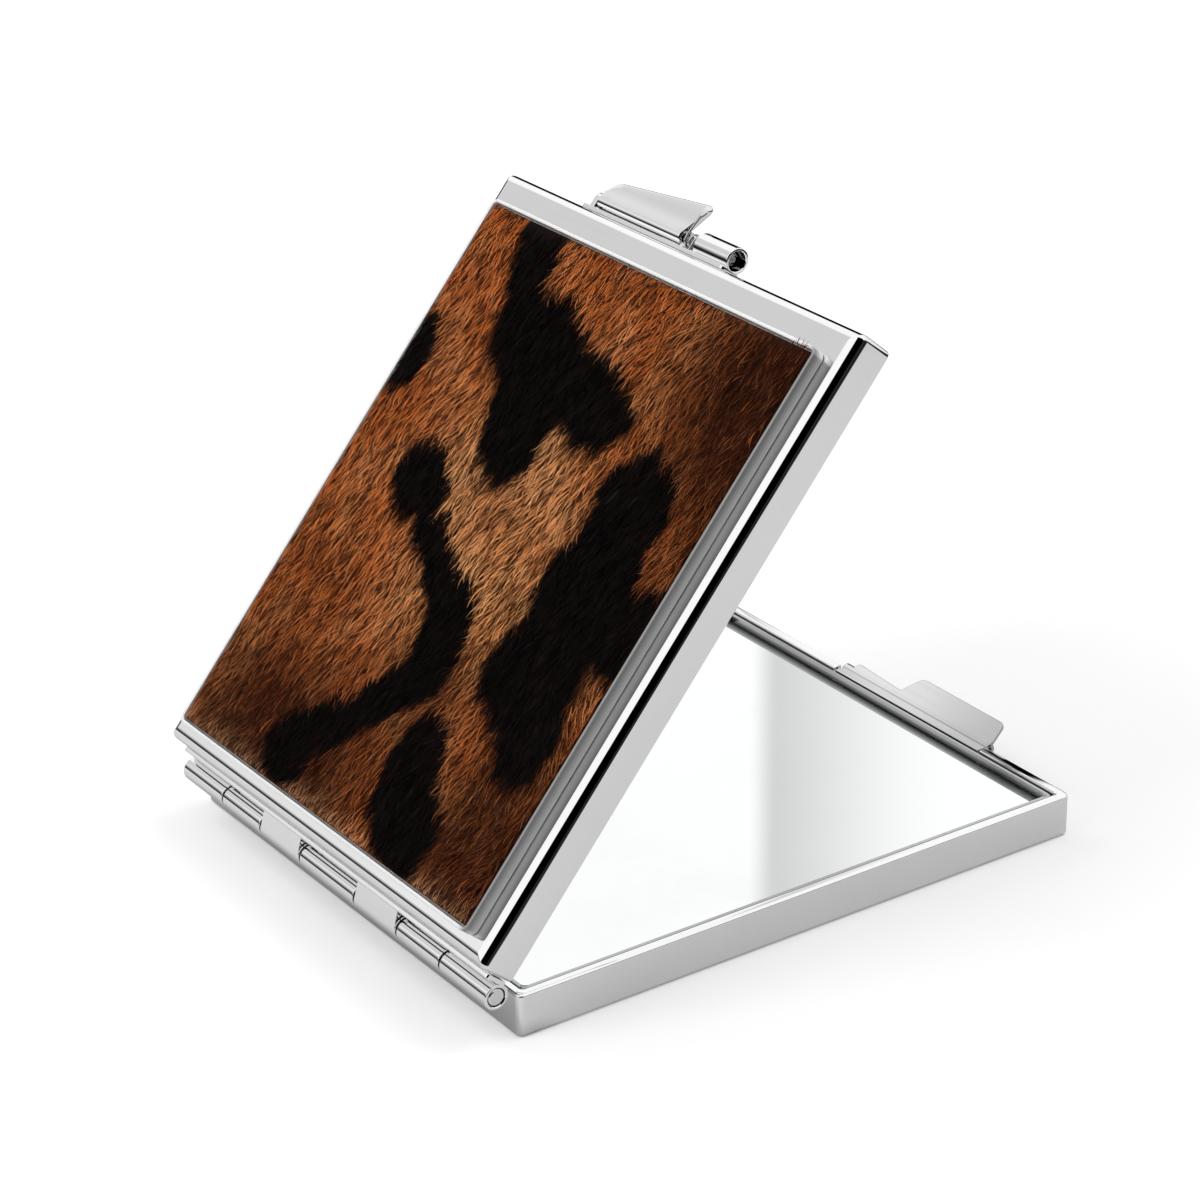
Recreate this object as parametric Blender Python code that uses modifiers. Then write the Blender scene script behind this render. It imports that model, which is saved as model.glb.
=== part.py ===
"""A folding pocket mirror, open at about fifty degrees.

X runs along the hinge, Y from the hinge to the catch and Z up. The origin is the centre of the base's
underside. The lid's pieces are modelled on the closed case and hang on an empty on the hinge axis, which
then opens them. The catch lever hangs on a second empty, on its axle.
"""

import math

import bmesh
import bpy

# Case halves
CASE_WIDTH = 0.062
CASE_DEPTH = 0.072
HALF_HEIGHT = 0.0049
CASE_WALL = 0.0012
CASE_FLOOR = 0.0009
CAVITY_CORNER = 0.0005
BASE_CORNER = 0.0008
BASE_FILLET = 0.0005
LID_CORNER = 0.0011
LID_FILLET = 0.0010
RIM_ROUND = 0.00032
RIM_GAP = 0.0003

# Clearances
SEAT_GAP = 0.0002
RUN_GAP = 0.0003
PIN_GAP = 0.0001
OVERRUN = 0.0010

# Glazing, alike in both halves
PAD_THICKNESS = 0.0005
PAD_MARGIN = 0.0010
GLASS_CORNER = 0.0005
GLASS_EDGE = 0.00015
FRAME_WIDTH = 0.0005
FRAME_DROP = 0.0003
GLASS_DEPTH_SHARE = 0.69

# Hinge
LEAF_INSET = 0.00125
LEAF_THICKNESS = 0.0005
BARREL_RADIUS = 0.0014
BARREL_CHAMFER = 0.00012
PIN_RADIUS = 0.00094
BARREL_LENGTHS = (0.0083, 0.0077, 0.0079, 0.0105, 0.0079, 0.0077, 0.0083)
LEAF_STRIP_START = 0.0013
LEAF_STRIP_WIDTH = 0.0013
LEAF_CORNER = 0.0003
WEDGE_TOP = 0.0021
LID_WEDGED_BARRELS = (2, 4)

# Hide panel on the lid
HIDE_BORDER_X = 0.0026
HIDE_BORDER_FRONT = 0.0035
HIDE_BORDER_REAR = 0.0021
TRAY_HEIGHT = 0.0018
TRAY_WALL = 0.0004
TRAY_FLOOR = 0.0004
TRAY_CORNER = 0.0009
TRAY_ROUND = 0.00012
BOARD_THICKNESS = 0.0004
HIDE_ROUND = 0.0002
HIDE_PROUD = 0.0001

# Keeper rail in the base's front wall
RAIL_LEFT = -0.0086
RAIL_RIGHT = 0.0169
RAIL_OUTSET = 0.0005
RAIL_DROP = 0.00075
ROLL_RADIUS = 0.0008
ROLL_BORE = 0.0004
ROLL_BORE_DEPTH = 0.0030
FOOT_DEPTH = 0.0014
NOTCH_CLEARANCE = 0.0002
KEEPER_TAB_THICKNESS = 0.0006
KEEPER_TAB_REACH = 0.0036
KEEPER_TAB_RISE_DEG = 23.0
KEEPER_TAB_CORNER = 0.0009
KEEPER_TAB_START = 0.0008
KEEPER_TAB_TAPER = 0.0010
LIP_START = -0.0072
LIP_REACH = 0.0012
LIP_CORNER = 0.0005
TAB_EDGE = 0.00012

# Catch on the lid's front wall
LATCH_RISE = 0.0023
STRIP_THICKNESS = 0.0003
STRIP_BELOW = 0.0013
STRIP_ABOVE = 0.0014
STRIP_CORNER = 0.0004
EAR_LEFT = -0.0182
EAR_THICKNESS = 0.0007
EAR_RADIUS = 0.0009
TUBE_RADIUS = 0.00145
TUBE_BORE = 0.0011
TUBE_LEFT = 0.0010
TUBE_RIGHT = 0.0068
AXLE_RADIUS = 0.00045
COLLAR_LENGTH = 0.0021
AXLE_RECESS = 0.0008
AXLE_CHAMFER = 0.00008

# Catch lever
LEVER_LEFT = -0.0168
LEVER_RIGHT = -0.0022
KNUCKLE_RADIUS = 0.00095
WING_THICKNESS = 0.0006
WING_DROOP_DEG = 14.4
WING_LEFT_REACH = 0.0023
WING_RIGHT_REACH = 0.0043
WING_FLARE = 0.0013
WING_LEFT_CORNER = 0.0018
WING_RIGHT_CORNER = 0.0007
HOOK_LEFT = -0.0082
HOOK_WIDTH = 0.0022
HOOK_THICKNESS = 0.0006
NIB_TIP = 0.00025
NIB_LEAD = 0.0009

# Lever spring
SPRING_WIRE = 0.00028
SPRING_PITCH = 0.00072
SPRING_TURNS = 2
SPRING_MEAN_RADIUS = 0.00075
SPRING_LEG = 0.0027
SPRING_HOLE_GAP = 0.00010

# Pose at rest
LID_OPEN_DEG = 50.2

# Steps of rounded forms, which are counts
CORNER_STEPS = 6
FILLET_STEPS = 4
EDGE_STEPS = 2
ROUND_STEPS = 32
SMALL_ROUND_STEPS = 24
COIL_STEPS = 10
ROUND_PROFILE_SHARE = 0.5
WIRE_RESOLUTION = 1
MERGE_DISTANCE = 0.000001
FLAT_ANGLE = math.radians(0.5)
SHARP_ANGLE = math.radians(50)
SMOOTH_ANGLE = math.radians(35)

# Places worked out from the sizes above
LID_FACE_Z = HALF_HEIGHT + RIM_GAP + HALF_HEIGHT
WALL_Y = CASE_DEPTH / 2
PAD_Z = CASE_FLOOR + SEAT_GAP
GLASS_Z = PAD_Z + PAD_THICKNESS + SEAT_GAP
GLAZING_DEPTH = HALF_HEIGHT - FRAME_DROP - SEAT_GAP - GLASS_Z
GLASS_THICKNESS = GLASS_DEPTH_SHARE * GLAZING_DEPTH
FRAME_HEIGHT = GLAZING_DEPTH - GLASS_THICKNESS
FRAME_FOOT_Z = GLASS_Z + GLASS_THICKNESS + SEAT_GAP
CAVITY_WIDTH = CASE_WIDTH - 2 * CASE_WALL
CAVITY_DEPTH = CASE_DEPTH - 2 * CASE_WALL
HIDE_MIDDLE_Y = (HIDE_BORDER_REAR - HIDE_BORDER_FRONT) / 2
HINGE_Y = -(WALL_Y + SEAT_GAP + LEAF_THICKNESS + LEAF_INSET)
HINGE_Z = HALF_HEIGHT + RIM_GAP / 2
BARREL_BORE = PIN_RADIUS + PIN_GAP
LATCH_Y = WALL_Y + SEAT_GAP + STRIP_THICKNESS + SEAT_GAP + KNUCKLE_RADIUS
LATCH_Z = HALF_HEIGHT + RIM_GAP + LATCH_RISE
LEVER_BORE = AXLE_RADIUS + PIN_GAP
ROLL_Y = WALL_Y + RAIL_OUTSET
ROLL_Z = HALF_HEIGHT - RAIL_DROP

# Turns that stand a flat plate up
ALONG_X = (0, math.pi / 2, 0)
UPRIGHT = (math.pi / 2, 0, 0)
CROSSWISE = (math.pi / 2, 0, math.pi / 2)
UPSIDE_DOWN = (0, math.pi, 0)


def empty_scene():
    for item in list(bpy.data.objects):
        bpy.data.objects.remove(item)


def make_collection(name):
    collection = bpy.data.collections.new(name)
    bpy.context.scene.collection.children.link(collection)
    return collection


empty_scene()
PARTS = make_collection("pocket_mirror")
CUTTERS = make_collection("cutters")


def rounded_outline(corners):
    """The points of an outline whose corners, given as (x, y, radius), are rounded by arcs."""
    points = []
    for index, (x, y, radius) in enumerate(corners):
        if radius == 0:
            points.append((x, y))
            continue
        before = corners[index - 1]
        after = corners[(index + 1) % len(corners)]
        into = math.atan2(before[1] - y, before[0] - x)
        out = math.atan2(after[1] - y, after[0] - x)
        opening = math.remainder(out - into, 2 * math.pi)
        to_centre = radius / math.sin(abs(opening) / 2)
        middle = into + opening / 2
        centre = (x + to_centre * math.cos(middle), y + to_centre * math.sin(middle))
        sweep = math.copysign(math.pi - abs(opening), -opening)
        start = middle + math.pi - sweep / 2
        for step in range(CORNER_STEPS + 1):
            angle = start + sweep * step / CORNER_STEPS
            points.append((centre[0] + radius * math.cos(angle), centre[1] + radius * math.sin(angle)))
    return points


def rectangle(width, depth, radius):
    """A rounded rectangle about the origin."""
    x = width / 2
    y = depth / 2
    return rounded_outline([(-x, -y, radius), (x, -y, radius), (x, y, radius), (-x, y, radius)])


def add_piece(name, data):
    piece = bpy.data.objects.new(name, data)
    PARTS.objects.link(piece)
    return piece


def curve_to_mesh_piece(name, curve):
    """Turns a curve into a welded mesh piece, with its flat faces whole."""
    guide = bpy.data.objects.new(name, curve)
    PARTS.objects.link(guide)
    graph = bpy.context.evaluated_depsgraph_get()
    mesh = bpy.data.meshes.new_from_object(guide.evaluated_get(graph))
    bpy.data.objects.remove(guide)
    bpy.data.curves.remove(curve)
    form = bmesh.new()
    form.from_mesh(mesh)
    bmesh.ops.remove_doubles(form, verts=form.verts, dist=MERGE_DISTANCE)
    bmesh.ops.dissolve_limit(form, angle_limit=FLAT_ANGLE, verts=form.verts, edges=form.edges)
    bmesh.ops.recalc_face_normals(form, faces=form.faces)
    form.to_mesh(mesh)
    form.free()
    mesh.name = name
    return add_piece(name, mesh)


def flat_plate(name, outlines, thickness):
    """A plate in its own XY plane, half its thickness each side of it. A second outline is a hole."""
    curve = bpy.data.curves.new(name, "CURVE")
    curve.dimensions = "2D"
    curve.fill_mode = "BOTH"
    curve.extrude = thickness / 2
    for outline in outlines:
        spline = curve.splines.new("POLY")
        spline.points.add(len(outline) - 1)
        for point, (x, y) in zip(spline.points, outline):
            point.co = (x, y, 0, 1)
        spline.use_cyclic_u = True
    return curve_to_mesh_piece(name, curve)


def round_face(piece, side, radius, steps):
    """Rounds the edges round the plate's upper face, side 1, or its lower face, side -1."""
    form = bmesh.new()
    form.from_mesh(piece.data)
    level = side * max(vert.co.z for vert in form.verts)
    loop = []
    for edge in form.edges:
        flat = all(abs(vert.co.z - level) < MERGE_DISTANCE for vert in edge.verts)
        if flat and edge.calc_face_angle(0) > SHARP_ANGLE:
            loop.append(edge)
    bmesh.ops.bevel(
        form,
        geom=loop,
        offset=radius,
        offset_type="OFFSET",
        segments=steps,
        profile=ROUND_PROFILE_SHARE,
        affect="EDGES",
        clamp_overlap=True,
    )
    form.to_mesh(piece.data)
    form.free()


def turned(name, profile, steps):
    """A turned piece along X. The profile's points are (radius, place along X), from its right end to its left."""
    mesh = bpy.data.meshes.new(name)
    edges = [(index, index + 1) for index in range(len(profile) - 1)]
    mesh.from_pydata([(radius, 0, place) for radius, place in profile], edges, [])
    piece = add_piece(name, mesh)
    piece.rotation_euler = ALONG_X
    screw = piece.modifiers.new("turn", "SCREW")
    screw.steps = steps
    screw.render_steps = steps
    screw.use_merge_vertices = True
    screw.merge_threshold = MERGE_DISTANCE
    screw.use_smooth_shade = True
    return piece


def rod(name, radius, left, right, chamfer, steps):
    """A solid rod along X with chamfered ends."""
    profile = [
        (0, right),
        (radius - chamfer, right),
        (radius, right - chamfer),
        (radius, left + chamfer),
        (radius - chamfer, left),
        (0, left),
    ]
    return turned(name, profile, steps)


def place(piece, x, y, z, turn=(0, 0, 0)):
    piece.location = (x, y, z)
    piece.rotation_euler = turn
    return piece


def put_at(piece, y, z):
    """Moves a rod along X to its axis."""
    piece.location = (0, y, z)
    return piece


def carry(child, parent):
    """Parents without moving the child."""
    bpy.context.view_layer.update()
    child.parent = parent
    child.matrix_parent_inverse = parent.matrix_world.inverted()


def combine(piece, tool, operation):
    """Adds or cuts with another form, which stays as a hidden guide that follows the piece."""
    PARTS.objects.unlink(tool)
    CUTTERS.objects.link(tool)
    tool.hide_render = True
    tool.display_type = "WIRE"
    carry(tool, piece)
    boolean = piece.modifiers.new(operation.lower() + "_" + tool.name, "BOOLEAN")
    boolean.operation = operation
    boolean.object = tool
    boolean.solver = "EXACT"


def fuse(piece, tool):
    combine(piece, tool, "UNION")


def cut(piece, tool):
    combine(piece, tool, "DIFFERENCE")


def finish(piece, colour, metallic, roughness):
    """Gives the piece its own material and shades its rounds smooth."""
    material = bpy.data.materials.new(piece.name + "_finish")
    material.use_nodes = True
    shader = material.node_tree.nodes["Principled BSDF"]
    shader.inputs["Base Color"].default_value = (*colour, 1)
    shader.inputs["Metallic"].default_value = metallic
    shader.inputs["Roughness"].default_value = roughness
    material.diffuse_color = (*colour, 1)
    piece.data.materials.append(material)
    piece.data.shade_smooth()
    piece.data.set_sharp_from_angle(angle=SMOOTH_ANGLE)
    return piece


def chrome(piece):
    return finish(piece, (0.83, 0.83, 0.84), 1, 0.07)


def make_tray(name, width, depth, height, wall, floor, corner, inner_corner, fillet, edge):
    """A rounded tray, its outer face down at z = 0, with a filleted face and a softened rim."""
    tray = flat_plate(name, [rectangle(width, depth, corner)], height)
    round_face(tray, -1, fillet, FILLET_STEPS)
    place(tray, 0, 0, height / 2)
    cavity_height = height - floor + OVERRUN
    cavity_outline = rectangle(width - 2 * wall, depth - 2 * wall, inner_corner)
    cavity = flat_plate(name + "_cavity", [cavity_outline], cavity_height)
    place(cavity, 0, 0, floor + cavity_height / 2)
    cut(tray, cavity)
    softening = tray.modifiers.new("soft_rim", "BEVEL")
    softening.limit_method = "ANGLE"
    softening.angle_limit = SHARP_ANGLE
    softening.width = edge
    softening.segments = EDGE_STEPS
    return tray


def make_half_shell(name, corner, fillet):
    return make_tray(
        name,
        CASE_WIDTH,
        CASE_DEPTH,
        HALF_HEIGHT,
        CASE_WALL,
        CASE_FLOOR,
        corner,
        CAVITY_CORNER,
        fillet,
        RIM_ROUND,
    )


def make_glazing(half):
    """The pad, glass and retaining frame of one half, seated in its tray with the outer face down."""
    room_width = CAVITY_WIDTH - 2 * SEAT_GAP
    room_depth = CAVITY_DEPTH - 2 * SEAT_GAP
    pad_outline = rectangle(room_width - 2 * PAD_MARGIN, room_depth - 2 * PAD_MARGIN, GLASS_CORNER)
    pad = flat_plate(half + "_adhesive_pad", [pad_outline], PAD_THICKNESS)
    place(pad, 0, 0, PAD_Z + PAD_THICKNESS / 2)
    finish(pad, (0.03, 0.03, 0.03), 0, 0.9)
    mirror = flat_plate(half + "_mirror", [rectangle(room_width, room_depth, GLASS_CORNER)], GLASS_THICKNESS)
    round_face(mirror, 1, GLASS_EDGE, 1)
    place(mirror, 0, 0, GLASS_Z + GLASS_THICKNESS / 2)
    finish(mirror, (0.90, 0.93, 0.95), 1, 0.02)
    outer = rectangle(room_width, room_depth, GLASS_CORNER)
    inner = rectangle(room_width - 2 * FRAME_WIDTH, room_depth - 2 * FRAME_WIDTH, GLASS_CORNER)
    frame = flat_plate(half + "_mirror_frame", [outer, inner], FRAME_HEIGHT)
    place(frame, 0, 0, FRAME_FOOT_Z + FRAME_HEIGHT / 2)
    finish(frame, (0.30, 0.30, 0.31), 1, 0.25)
    return [pad, mirror, frame]


def barrel_spans():
    """The left and right ends of the seven barrel sections, which share one row with a running gap."""
    total = sum(BARREL_LENGTHS) + RUN_GAP * (len(BARREL_LENGTHS) - 1)
    spans = []
    left = -total / 2
    for length in BARREL_LENGTHS:
        spans.append((left, left + length))
        left += length + RUN_GAP
    return spans


def leaf_comb(barrels, side):
    """The leaf's outline in X and height: a strip, and a neck from it to the axis for each of its barrels."""
    near = side * LEAF_STRIP_START
    far = side * (LEAF_STRIP_START + LEAF_STRIP_WIDTH)
    corners = [(barrels[0][0], 0, 0)]
    for left, right in barrels:
        if left != barrels[0][0]:
            corners.append((left, near, LEAF_CORNER))
            corners.append((left, 0, 0))
        corners.append((right, 0, 0))
        if right != barrels[-1][1]:
            corners.append((right, near, LEAF_CORNER))
    corners.append((barrels[-1][1], far, LEAF_CORNER))
    corners.append((barrels[0][0], far, LEAF_CORNER))
    return rounded_outline(corners)


def wedge_outline():
    """A cheek that runs off the barrel at a tangent and up to the leaf, in Y and height from the axis."""
    reach = math.hypot(LEAF_INSET, WEDGE_TOP)
    touch = math.atan2(WEDGE_TOP, LEAF_INSET) + math.acos(BARREL_RADIUS / reach)
    inside = LEAF_INSET + LEAF_THICKNESS / 2
    outline = [(0, 0), (inside, 0), (inside, WEDGE_TOP), (LEAF_INSET, WEDGE_TOP)]
    outline.append((BARREL_RADIUS * math.cos(touch), BARREL_RADIUS * math.sin(touch)))
    return outline


def make_hinge_leaf(name, first, side):
    """One leaf: a comb against the wall whose every other barrel section belongs to it."""
    spans = barrel_spans()
    barrels = spans[first::2]
    leaf = flat_plate(name, [leaf_comb(barrels, side)], LEAF_THICKNESS)
    leaf_y = HINGE_Y + LEAF_INSET + LEAF_THICKNESS / 2
    place(leaf, 0, leaf_y, HINGE_Z, UPRIGHT)
    for index, (left, right) in enumerate(spans):
        if (left, right) not in barrels:
            continue
        label = name + "_barrel_" + str(index + 1)
        fuse(leaf, put_at(rod(label, BARREL_RADIUS, left, right, BARREL_CHAMFER, ROUND_STEPS), HINGE_Y, HINGE_Z))
        if side > 0 and index in LID_WEDGED_BARRELS:
            length = right - left - 2 * BARREL_CHAMFER
            cheek = flat_plate(label + "_cheek", [wedge_outline()], length)
            fuse(leaf, place(cheek, (left + right) / 2, HINGE_Y, HINGE_Z, CROSSWISE))
    bore = rod(name + "_bore", BARREL_BORE, spans[0][0] - OVERRUN, spans[-1][1] + OVERRUN, 0, ROUND_STEPS)
    cut(leaf, put_at(bore, HINGE_Y, HINGE_Z))
    return chrome(leaf)


def make_hinge_pin():
    spans = barrel_spans()
    pin = rod("hinge_pin", PIN_RADIUS, spans[0][0], spans[-1][1], BARREL_CHAMFER, ROUND_STEPS)
    return finish(put_at(pin, HINGE_Y, HINGE_Z), (0.75, 0.75, 0.75), 1, 0.15)


def keeper_tab_outline():
    """The rail's plate in X and reach: a low lip on the left, which dips and then flares into the thumb tab."""
    shoulder = KEEPER_TAB_START + KEEPER_TAB_TAPER
    corners = [
        (LIP_START, 0, 0),
        (RAIL_RIGHT, 0, 0),
        (RAIL_RIGHT, ROLL_RADIUS, LIP_CORNER),
        (RAIL_RIGHT - KEEPER_TAB_TAPER, KEEPER_TAB_REACH, KEEPER_TAB_CORNER),
        (shoulder, KEEPER_TAB_REACH, KEEPER_TAB_CORNER),
        (KEEPER_TAB_START, ROLL_RADIUS, LIP_CORNER),
        (LIP_START, LIP_REACH, LIP_CORNER),
    ]
    return rounded_outline(corners)


def make_keeper_rail():
    """A rolled rail with a foot in the wall's notch, a blind bore, and the lip and tab plate along its top."""
    rail = rod("keeper_rail", ROLL_RADIUS, RAIL_LEFT, RAIL_RIGHT, BARREL_CHAMFER, SMALL_ROUND_STEPS)
    put_at(rail, ROLL_Y, ROLL_Z)
    foot_back = WALL_Y - CASE_WALL
    foot_depth = ROLL_Y - foot_back
    foot_width = RAIL_RIGHT - RAIL_LEFT - 2 * BARREL_CHAMFER
    foot = flat_plate("rail_foot", [rectangle(foot_width, foot_depth, BARREL_CHAMFER)], FOOT_DEPTH - NOTCH_CLEARANCE)
    place(foot, (RAIL_LEFT + RAIL_RIGHT) / 2, foot_back + foot_depth / 2, rail_foot_z())
    fuse(rail, foot)
    plate = flat_plate("rail_plate", [keeper_tab_outline()], KEEPER_TAB_THICKNESS)
    round_face(plate, 1, TAB_EDGE, EDGE_STEPS)
    round_face(plate, -1, TAB_EDGE, EDGE_STEPS)
    rise = math.radians(KEEPER_TAB_RISE_DEG)
    lift = ROLL_RADIUS - KEEPER_TAB_THICKNESS / 2
    place(plate, 0, ROLL_Y - lift * math.sin(rise), ROLL_Z + lift * math.cos(rise), (rise, 0, 0))
    fuse(rail, plate)
    bore = rod("rail_bore", ROLL_BORE, RAIL_RIGHT - ROLL_BORE_DEPTH, RAIL_RIGHT + OVERRUN, 0, SMALL_ROUND_STEPS)
    cut(rail, put_at(bore, ROLL_Y, ROLL_Z))
    return chrome(rail)


def rail_foot_z():
    """The middle of the rail's foot, whose underside stays clear of the notch's floor."""
    return notch_floor_z() + NOTCH_CLEARANCE + (FOOT_DEPTH - NOTCH_CLEARANCE) / 2


def notch_floor_z():
    return HALF_HEIGHT - SEAT_GAP - FOOT_DEPTH


def make_base_shell():
    shell = make_half_shell("base_shell", BASE_CORNER, BASE_FILLET)
    notch_width = RAIL_RIGHT - RAIL_LEFT + 2 * RUN_GAP
    notch_depth = CASE_WALL + 2 * OVERRUN
    notch_height = HALF_HEIGHT - notch_floor_z() + OVERRUN
    notch = flat_plate("rail_notch", [rectangle(notch_width, notch_depth, 0)], notch_height)
    notch_x = (RAIL_LEFT + RAIL_RIGHT) / 2
    cut(shell, place(notch, notch_x, WALL_Y - CASE_WALL / 2, notch_floor_z() + notch_height / 2))
    return chrome(shell)


def make_hide_tray():
    """The raised tray on the lid's face. It is modelled face up, on the closed case."""
    width = CASE_WIDTH - 2 * HIDE_BORDER_X
    depth = CASE_DEPTH - HIDE_BORDER_FRONT - HIDE_BORDER_REAR
    inner_corner = TRAY_CORNER - TRAY_WALL
    tray = make_tray(
        "hide_tray",
        width,
        depth,
        TRAY_HEIGHT,
        TRAY_WALL,
        TRAY_FLOOR,
        TRAY_CORNER,
        inner_corner,
        TRAY_ROUND,
        TRAY_ROUND,
    )
    tray.location.y = HIDE_MIDDLE_Y
    tray.location.z += LID_FACE_Z + SEAT_GAP
    return chrome(tray)


def make_hide_stack():
    """The stiff board and the short-haired hide glued over it, inside the tray."""
    inset = TRAY_WALL + SEAT_GAP
    width = CASE_WIDTH - 2 * (HIDE_BORDER_X + inset)
    depth = CASE_DEPTH - HIDE_BORDER_FRONT - HIDE_BORDER_REAR - 2 * inset
    corner = TRAY_CORNER - inset
    tray_foot = LID_FACE_Z + SEAT_GAP
    board_z = tray_foot + TRAY_FLOOR + SEAT_GAP
    board = flat_plate("hide_board", [rectangle(width, depth, corner)], BOARD_THICKNESS)
    place(board, 0, HIDE_MIDDLE_Y, board_z + BOARD_THICKNESS / 2)
    finish(board, (0.25, 0.19, 0.14), 0, 0.8)
    hide_foot = board_z + BOARD_THICKNESS + SEAT_GAP
    hide_thickness = tray_foot + TRAY_HEIGHT + HIDE_PROUD - hide_foot
    hide = flat_plate("hide_panel", [rectangle(width, depth, corner)], hide_thickness)
    round_face(hide, 1, HIDE_ROUND, FILLET_STEPS)
    place(hide, 0, HIDE_MIDDLE_Y, hide_foot + hide_thickness / 2)
    finish(hide, (0.33, 0.15, 0.06), 0, 0.75)
    return [board, hide]


def make_latch_bracket():
    """A strip on the lid's front wall, with an ear for the axle's left end and a bearing tube for its right."""
    strip_right = TUBE_RIGHT
    low = -STRIP_BELOW
    high = STRIP_ABOVE
    corners = [
        (EAR_LEFT, low, STRIP_CORNER),
        (strip_right, low, STRIP_CORNER),
        (strip_right, high, STRIP_CORNER),
        (EAR_LEFT, high, STRIP_CORNER),
    ]
    bracket = flat_plate("latch_bracket", [rounded_outline(corners)], STRIP_THICKNESS)
    strip_y = WALL_Y + SEAT_GAP + STRIP_THICKNESS / 2
    place(bracket, 0, strip_y, LATCH_Z, UPRIGHT)
    to_strip = strip_y - LATCH_Y
    ear_corners = [
        (to_strip, -EAR_RADIUS, 0),
        (EAR_RADIUS, -EAR_RADIUS, EAR_RADIUS - BARREL_CHAMFER),
        (EAR_RADIUS, EAR_RADIUS, EAR_RADIUS - BARREL_CHAMFER),
        (to_strip, EAR_RADIUS, 0),
    ]
    ear = flat_plate("bracket_ear", [rounded_outline(ear_corners)], EAR_THICKNESS)
    fuse(bracket, place(ear, EAR_LEFT + EAR_THICKNESS / 2 + STRIP_CORNER, LATCH_Y, LATCH_Z, CROSSWISE))
    tube = rod("bracket_tube", TUBE_RADIUS, TUBE_LEFT, TUBE_RIGHT, BARREL_CHAMFER, ROUND_STEPS)
    fuse(bracket, put_at(tube, LATCH_Y, LATCH_Z))
    tube_bore = rod("tube_bore", TUBE_BORE, TUBE_LEFT - OVERRUN, TUBE_RIGHT + OVERRUN, 0, SMALL_ROUND_STEPS)
    cut(bracket, put_at(tube_bore, LATCH_Y, LATCH_Z))
    ear_bore = rod("ear_bore", LEVER_BORE, EAR_LEFT - OVERRUN, LEVER_LEFT, 0, SMALL_ROUND_STEPS)
    cut(bracket, put_at(ear_bore, LATCH_Y, LATCH_Z))
    hole_radius = SPRING_WIRE / 2 + SPRING_HOLE_GAP
    hole = flat_plate("spring_hole", [rectangle(2 * hole_radius, 2 * hole_radius, SPRING_WIRE / 2)], LATCH_Y)
    cut(bracket, place(hole, spring_right(), LATCH_Y, LATCH_Z + SPRING_MEAN_RADIUS, UPRIGHT))
    return chrome(bracket)


def make_lever_axle():
    """The axle: a thin shaft from the ear to the tube, with a collar that centres it in the tube's bore."""
    collar_radius = TUBE_BORE - PIN_GAP
    collar_left = TUBE_LEFT + RUN_GAP
    collar_right = collar_left + COLLAR_LENGTH
    right = TUBE_RIGHT - AXLE_RECESS
    left = EAR_LEFT + STRIP_CORNER
    profile = [
        (0, right),
        (AXLE_RADIUS - AXLE_CHAMFER, right),
        (AXLE_RADIUS, right - AXLE_CHAMFER),
        (AXLE_RADIUS, collar_right),
        (collar_radius - AXLE_CHAMFER, collar_right),
        (collar_radius, collar_right - AXLE_CHAMFER),
        (collar_radius, collar_left),
        (AXLE_RADIUS, collar_left),
        (AXLE_RADIUS, left + AXLE_CHAMFER),
        (AXLE_RADIUS - AXLE_CHAMFER, left),
        (0, left),
    ]
    axle = turned("lever_axle", profile, SMALL_ROUND_STEPS)
    return finish(put_at(axle, LATCH_Y, LATCH_Z), (0.20, 0.20, 0.20), 1, 0.35)


def wing_outline():
    """The lever's thumb wing in X and reach: short on the left with a broad corner, longer on the right."""
    corners = [
        (LEVER_LEFT, 0, 0),
        (LEVER_RIGHT, 0, 0),
        (LEVER_RIGHT + WING_FLARE, WING_RIGHT_REACH, WING_RIGHT_CORNER),
        (LEVER_LEFT, WING_LEFT_REACH, WING_LEFT_CORNER),
    ]
    return rounded_outline(corners)


def hook_outline():
    """The hook's side view in Y and height from the axle: an arm down past the rail, and a nib under it."""
    arm_in = ROLL_Y + ROLL_RADIUS + RUN_GAP - LATCH_Y
    arm_out = arm_in + HOOK_THICKNESS
    nib_in = ROLL_Y - LATCH_Y
    nib_top = ROLL_Z - ROLL_RADIUS - RUN_GAP - LATCH_Z
    nib_low = nib_top - NIB_TIP
    foot = nib_low - NIB_LEAD
    return [(arm_in, 0), (arm_in, nib_top), (nib_in, nib_top), (nib_in, nib_low), (arm_out, foot), (arm_out, 0)]


def make_catch_lever():
    """The lever: a knuckle on the axle, the thumb wing that runs off its top, and the hook below."""
    lever = rod("catch_lever", KNUCKLE_RADIUS, LEVER_LEFT, LEVER_RIGHT, BARREL_CHAMFER, ROUND_STEPS)
    put_at(lever, LATCH_Y, LATCH_Z)
    wing = flat_plate("lever_wing", [wing_outline()], WING_THICKNESS)
    round_face(wing, 1, TAB_EDGE, EDGE_STEPS)
    round_face(wing, -1, TAB_EDGE, EDGE_STEPS)
    droop = math.radians(WING_DROOP_DEG)
    lift = KNUCKLE_RADIUS - WING_THICKNESS / 2
    place(wing, 0, LATCH_Y + lift * math.sin(droop), LATCH_Z + lift * math.cos(droop), (-droop, 0, 0))
    fuse(lever, wing)
    hook = flat_plate("lever_hook", [hook_outline()], HOOK_WIDTH)
    fuse(lever, place(hook, HOOK_LEFT + HOOK_WIDTH / 2, LATCH_Y, LATCH_Z, CROSSWISE))
    bore = rod("lever_bore", LEVER_BORE, LEVER_LEFT - OVERRUN, LEVER_RIGHT + OVERRUN, 0, SMALL_ROUND_STEPS)
    cut(lever, put_at(bore, LATCH_Y, LATCH_Z))
    return chrome(lever)


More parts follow.
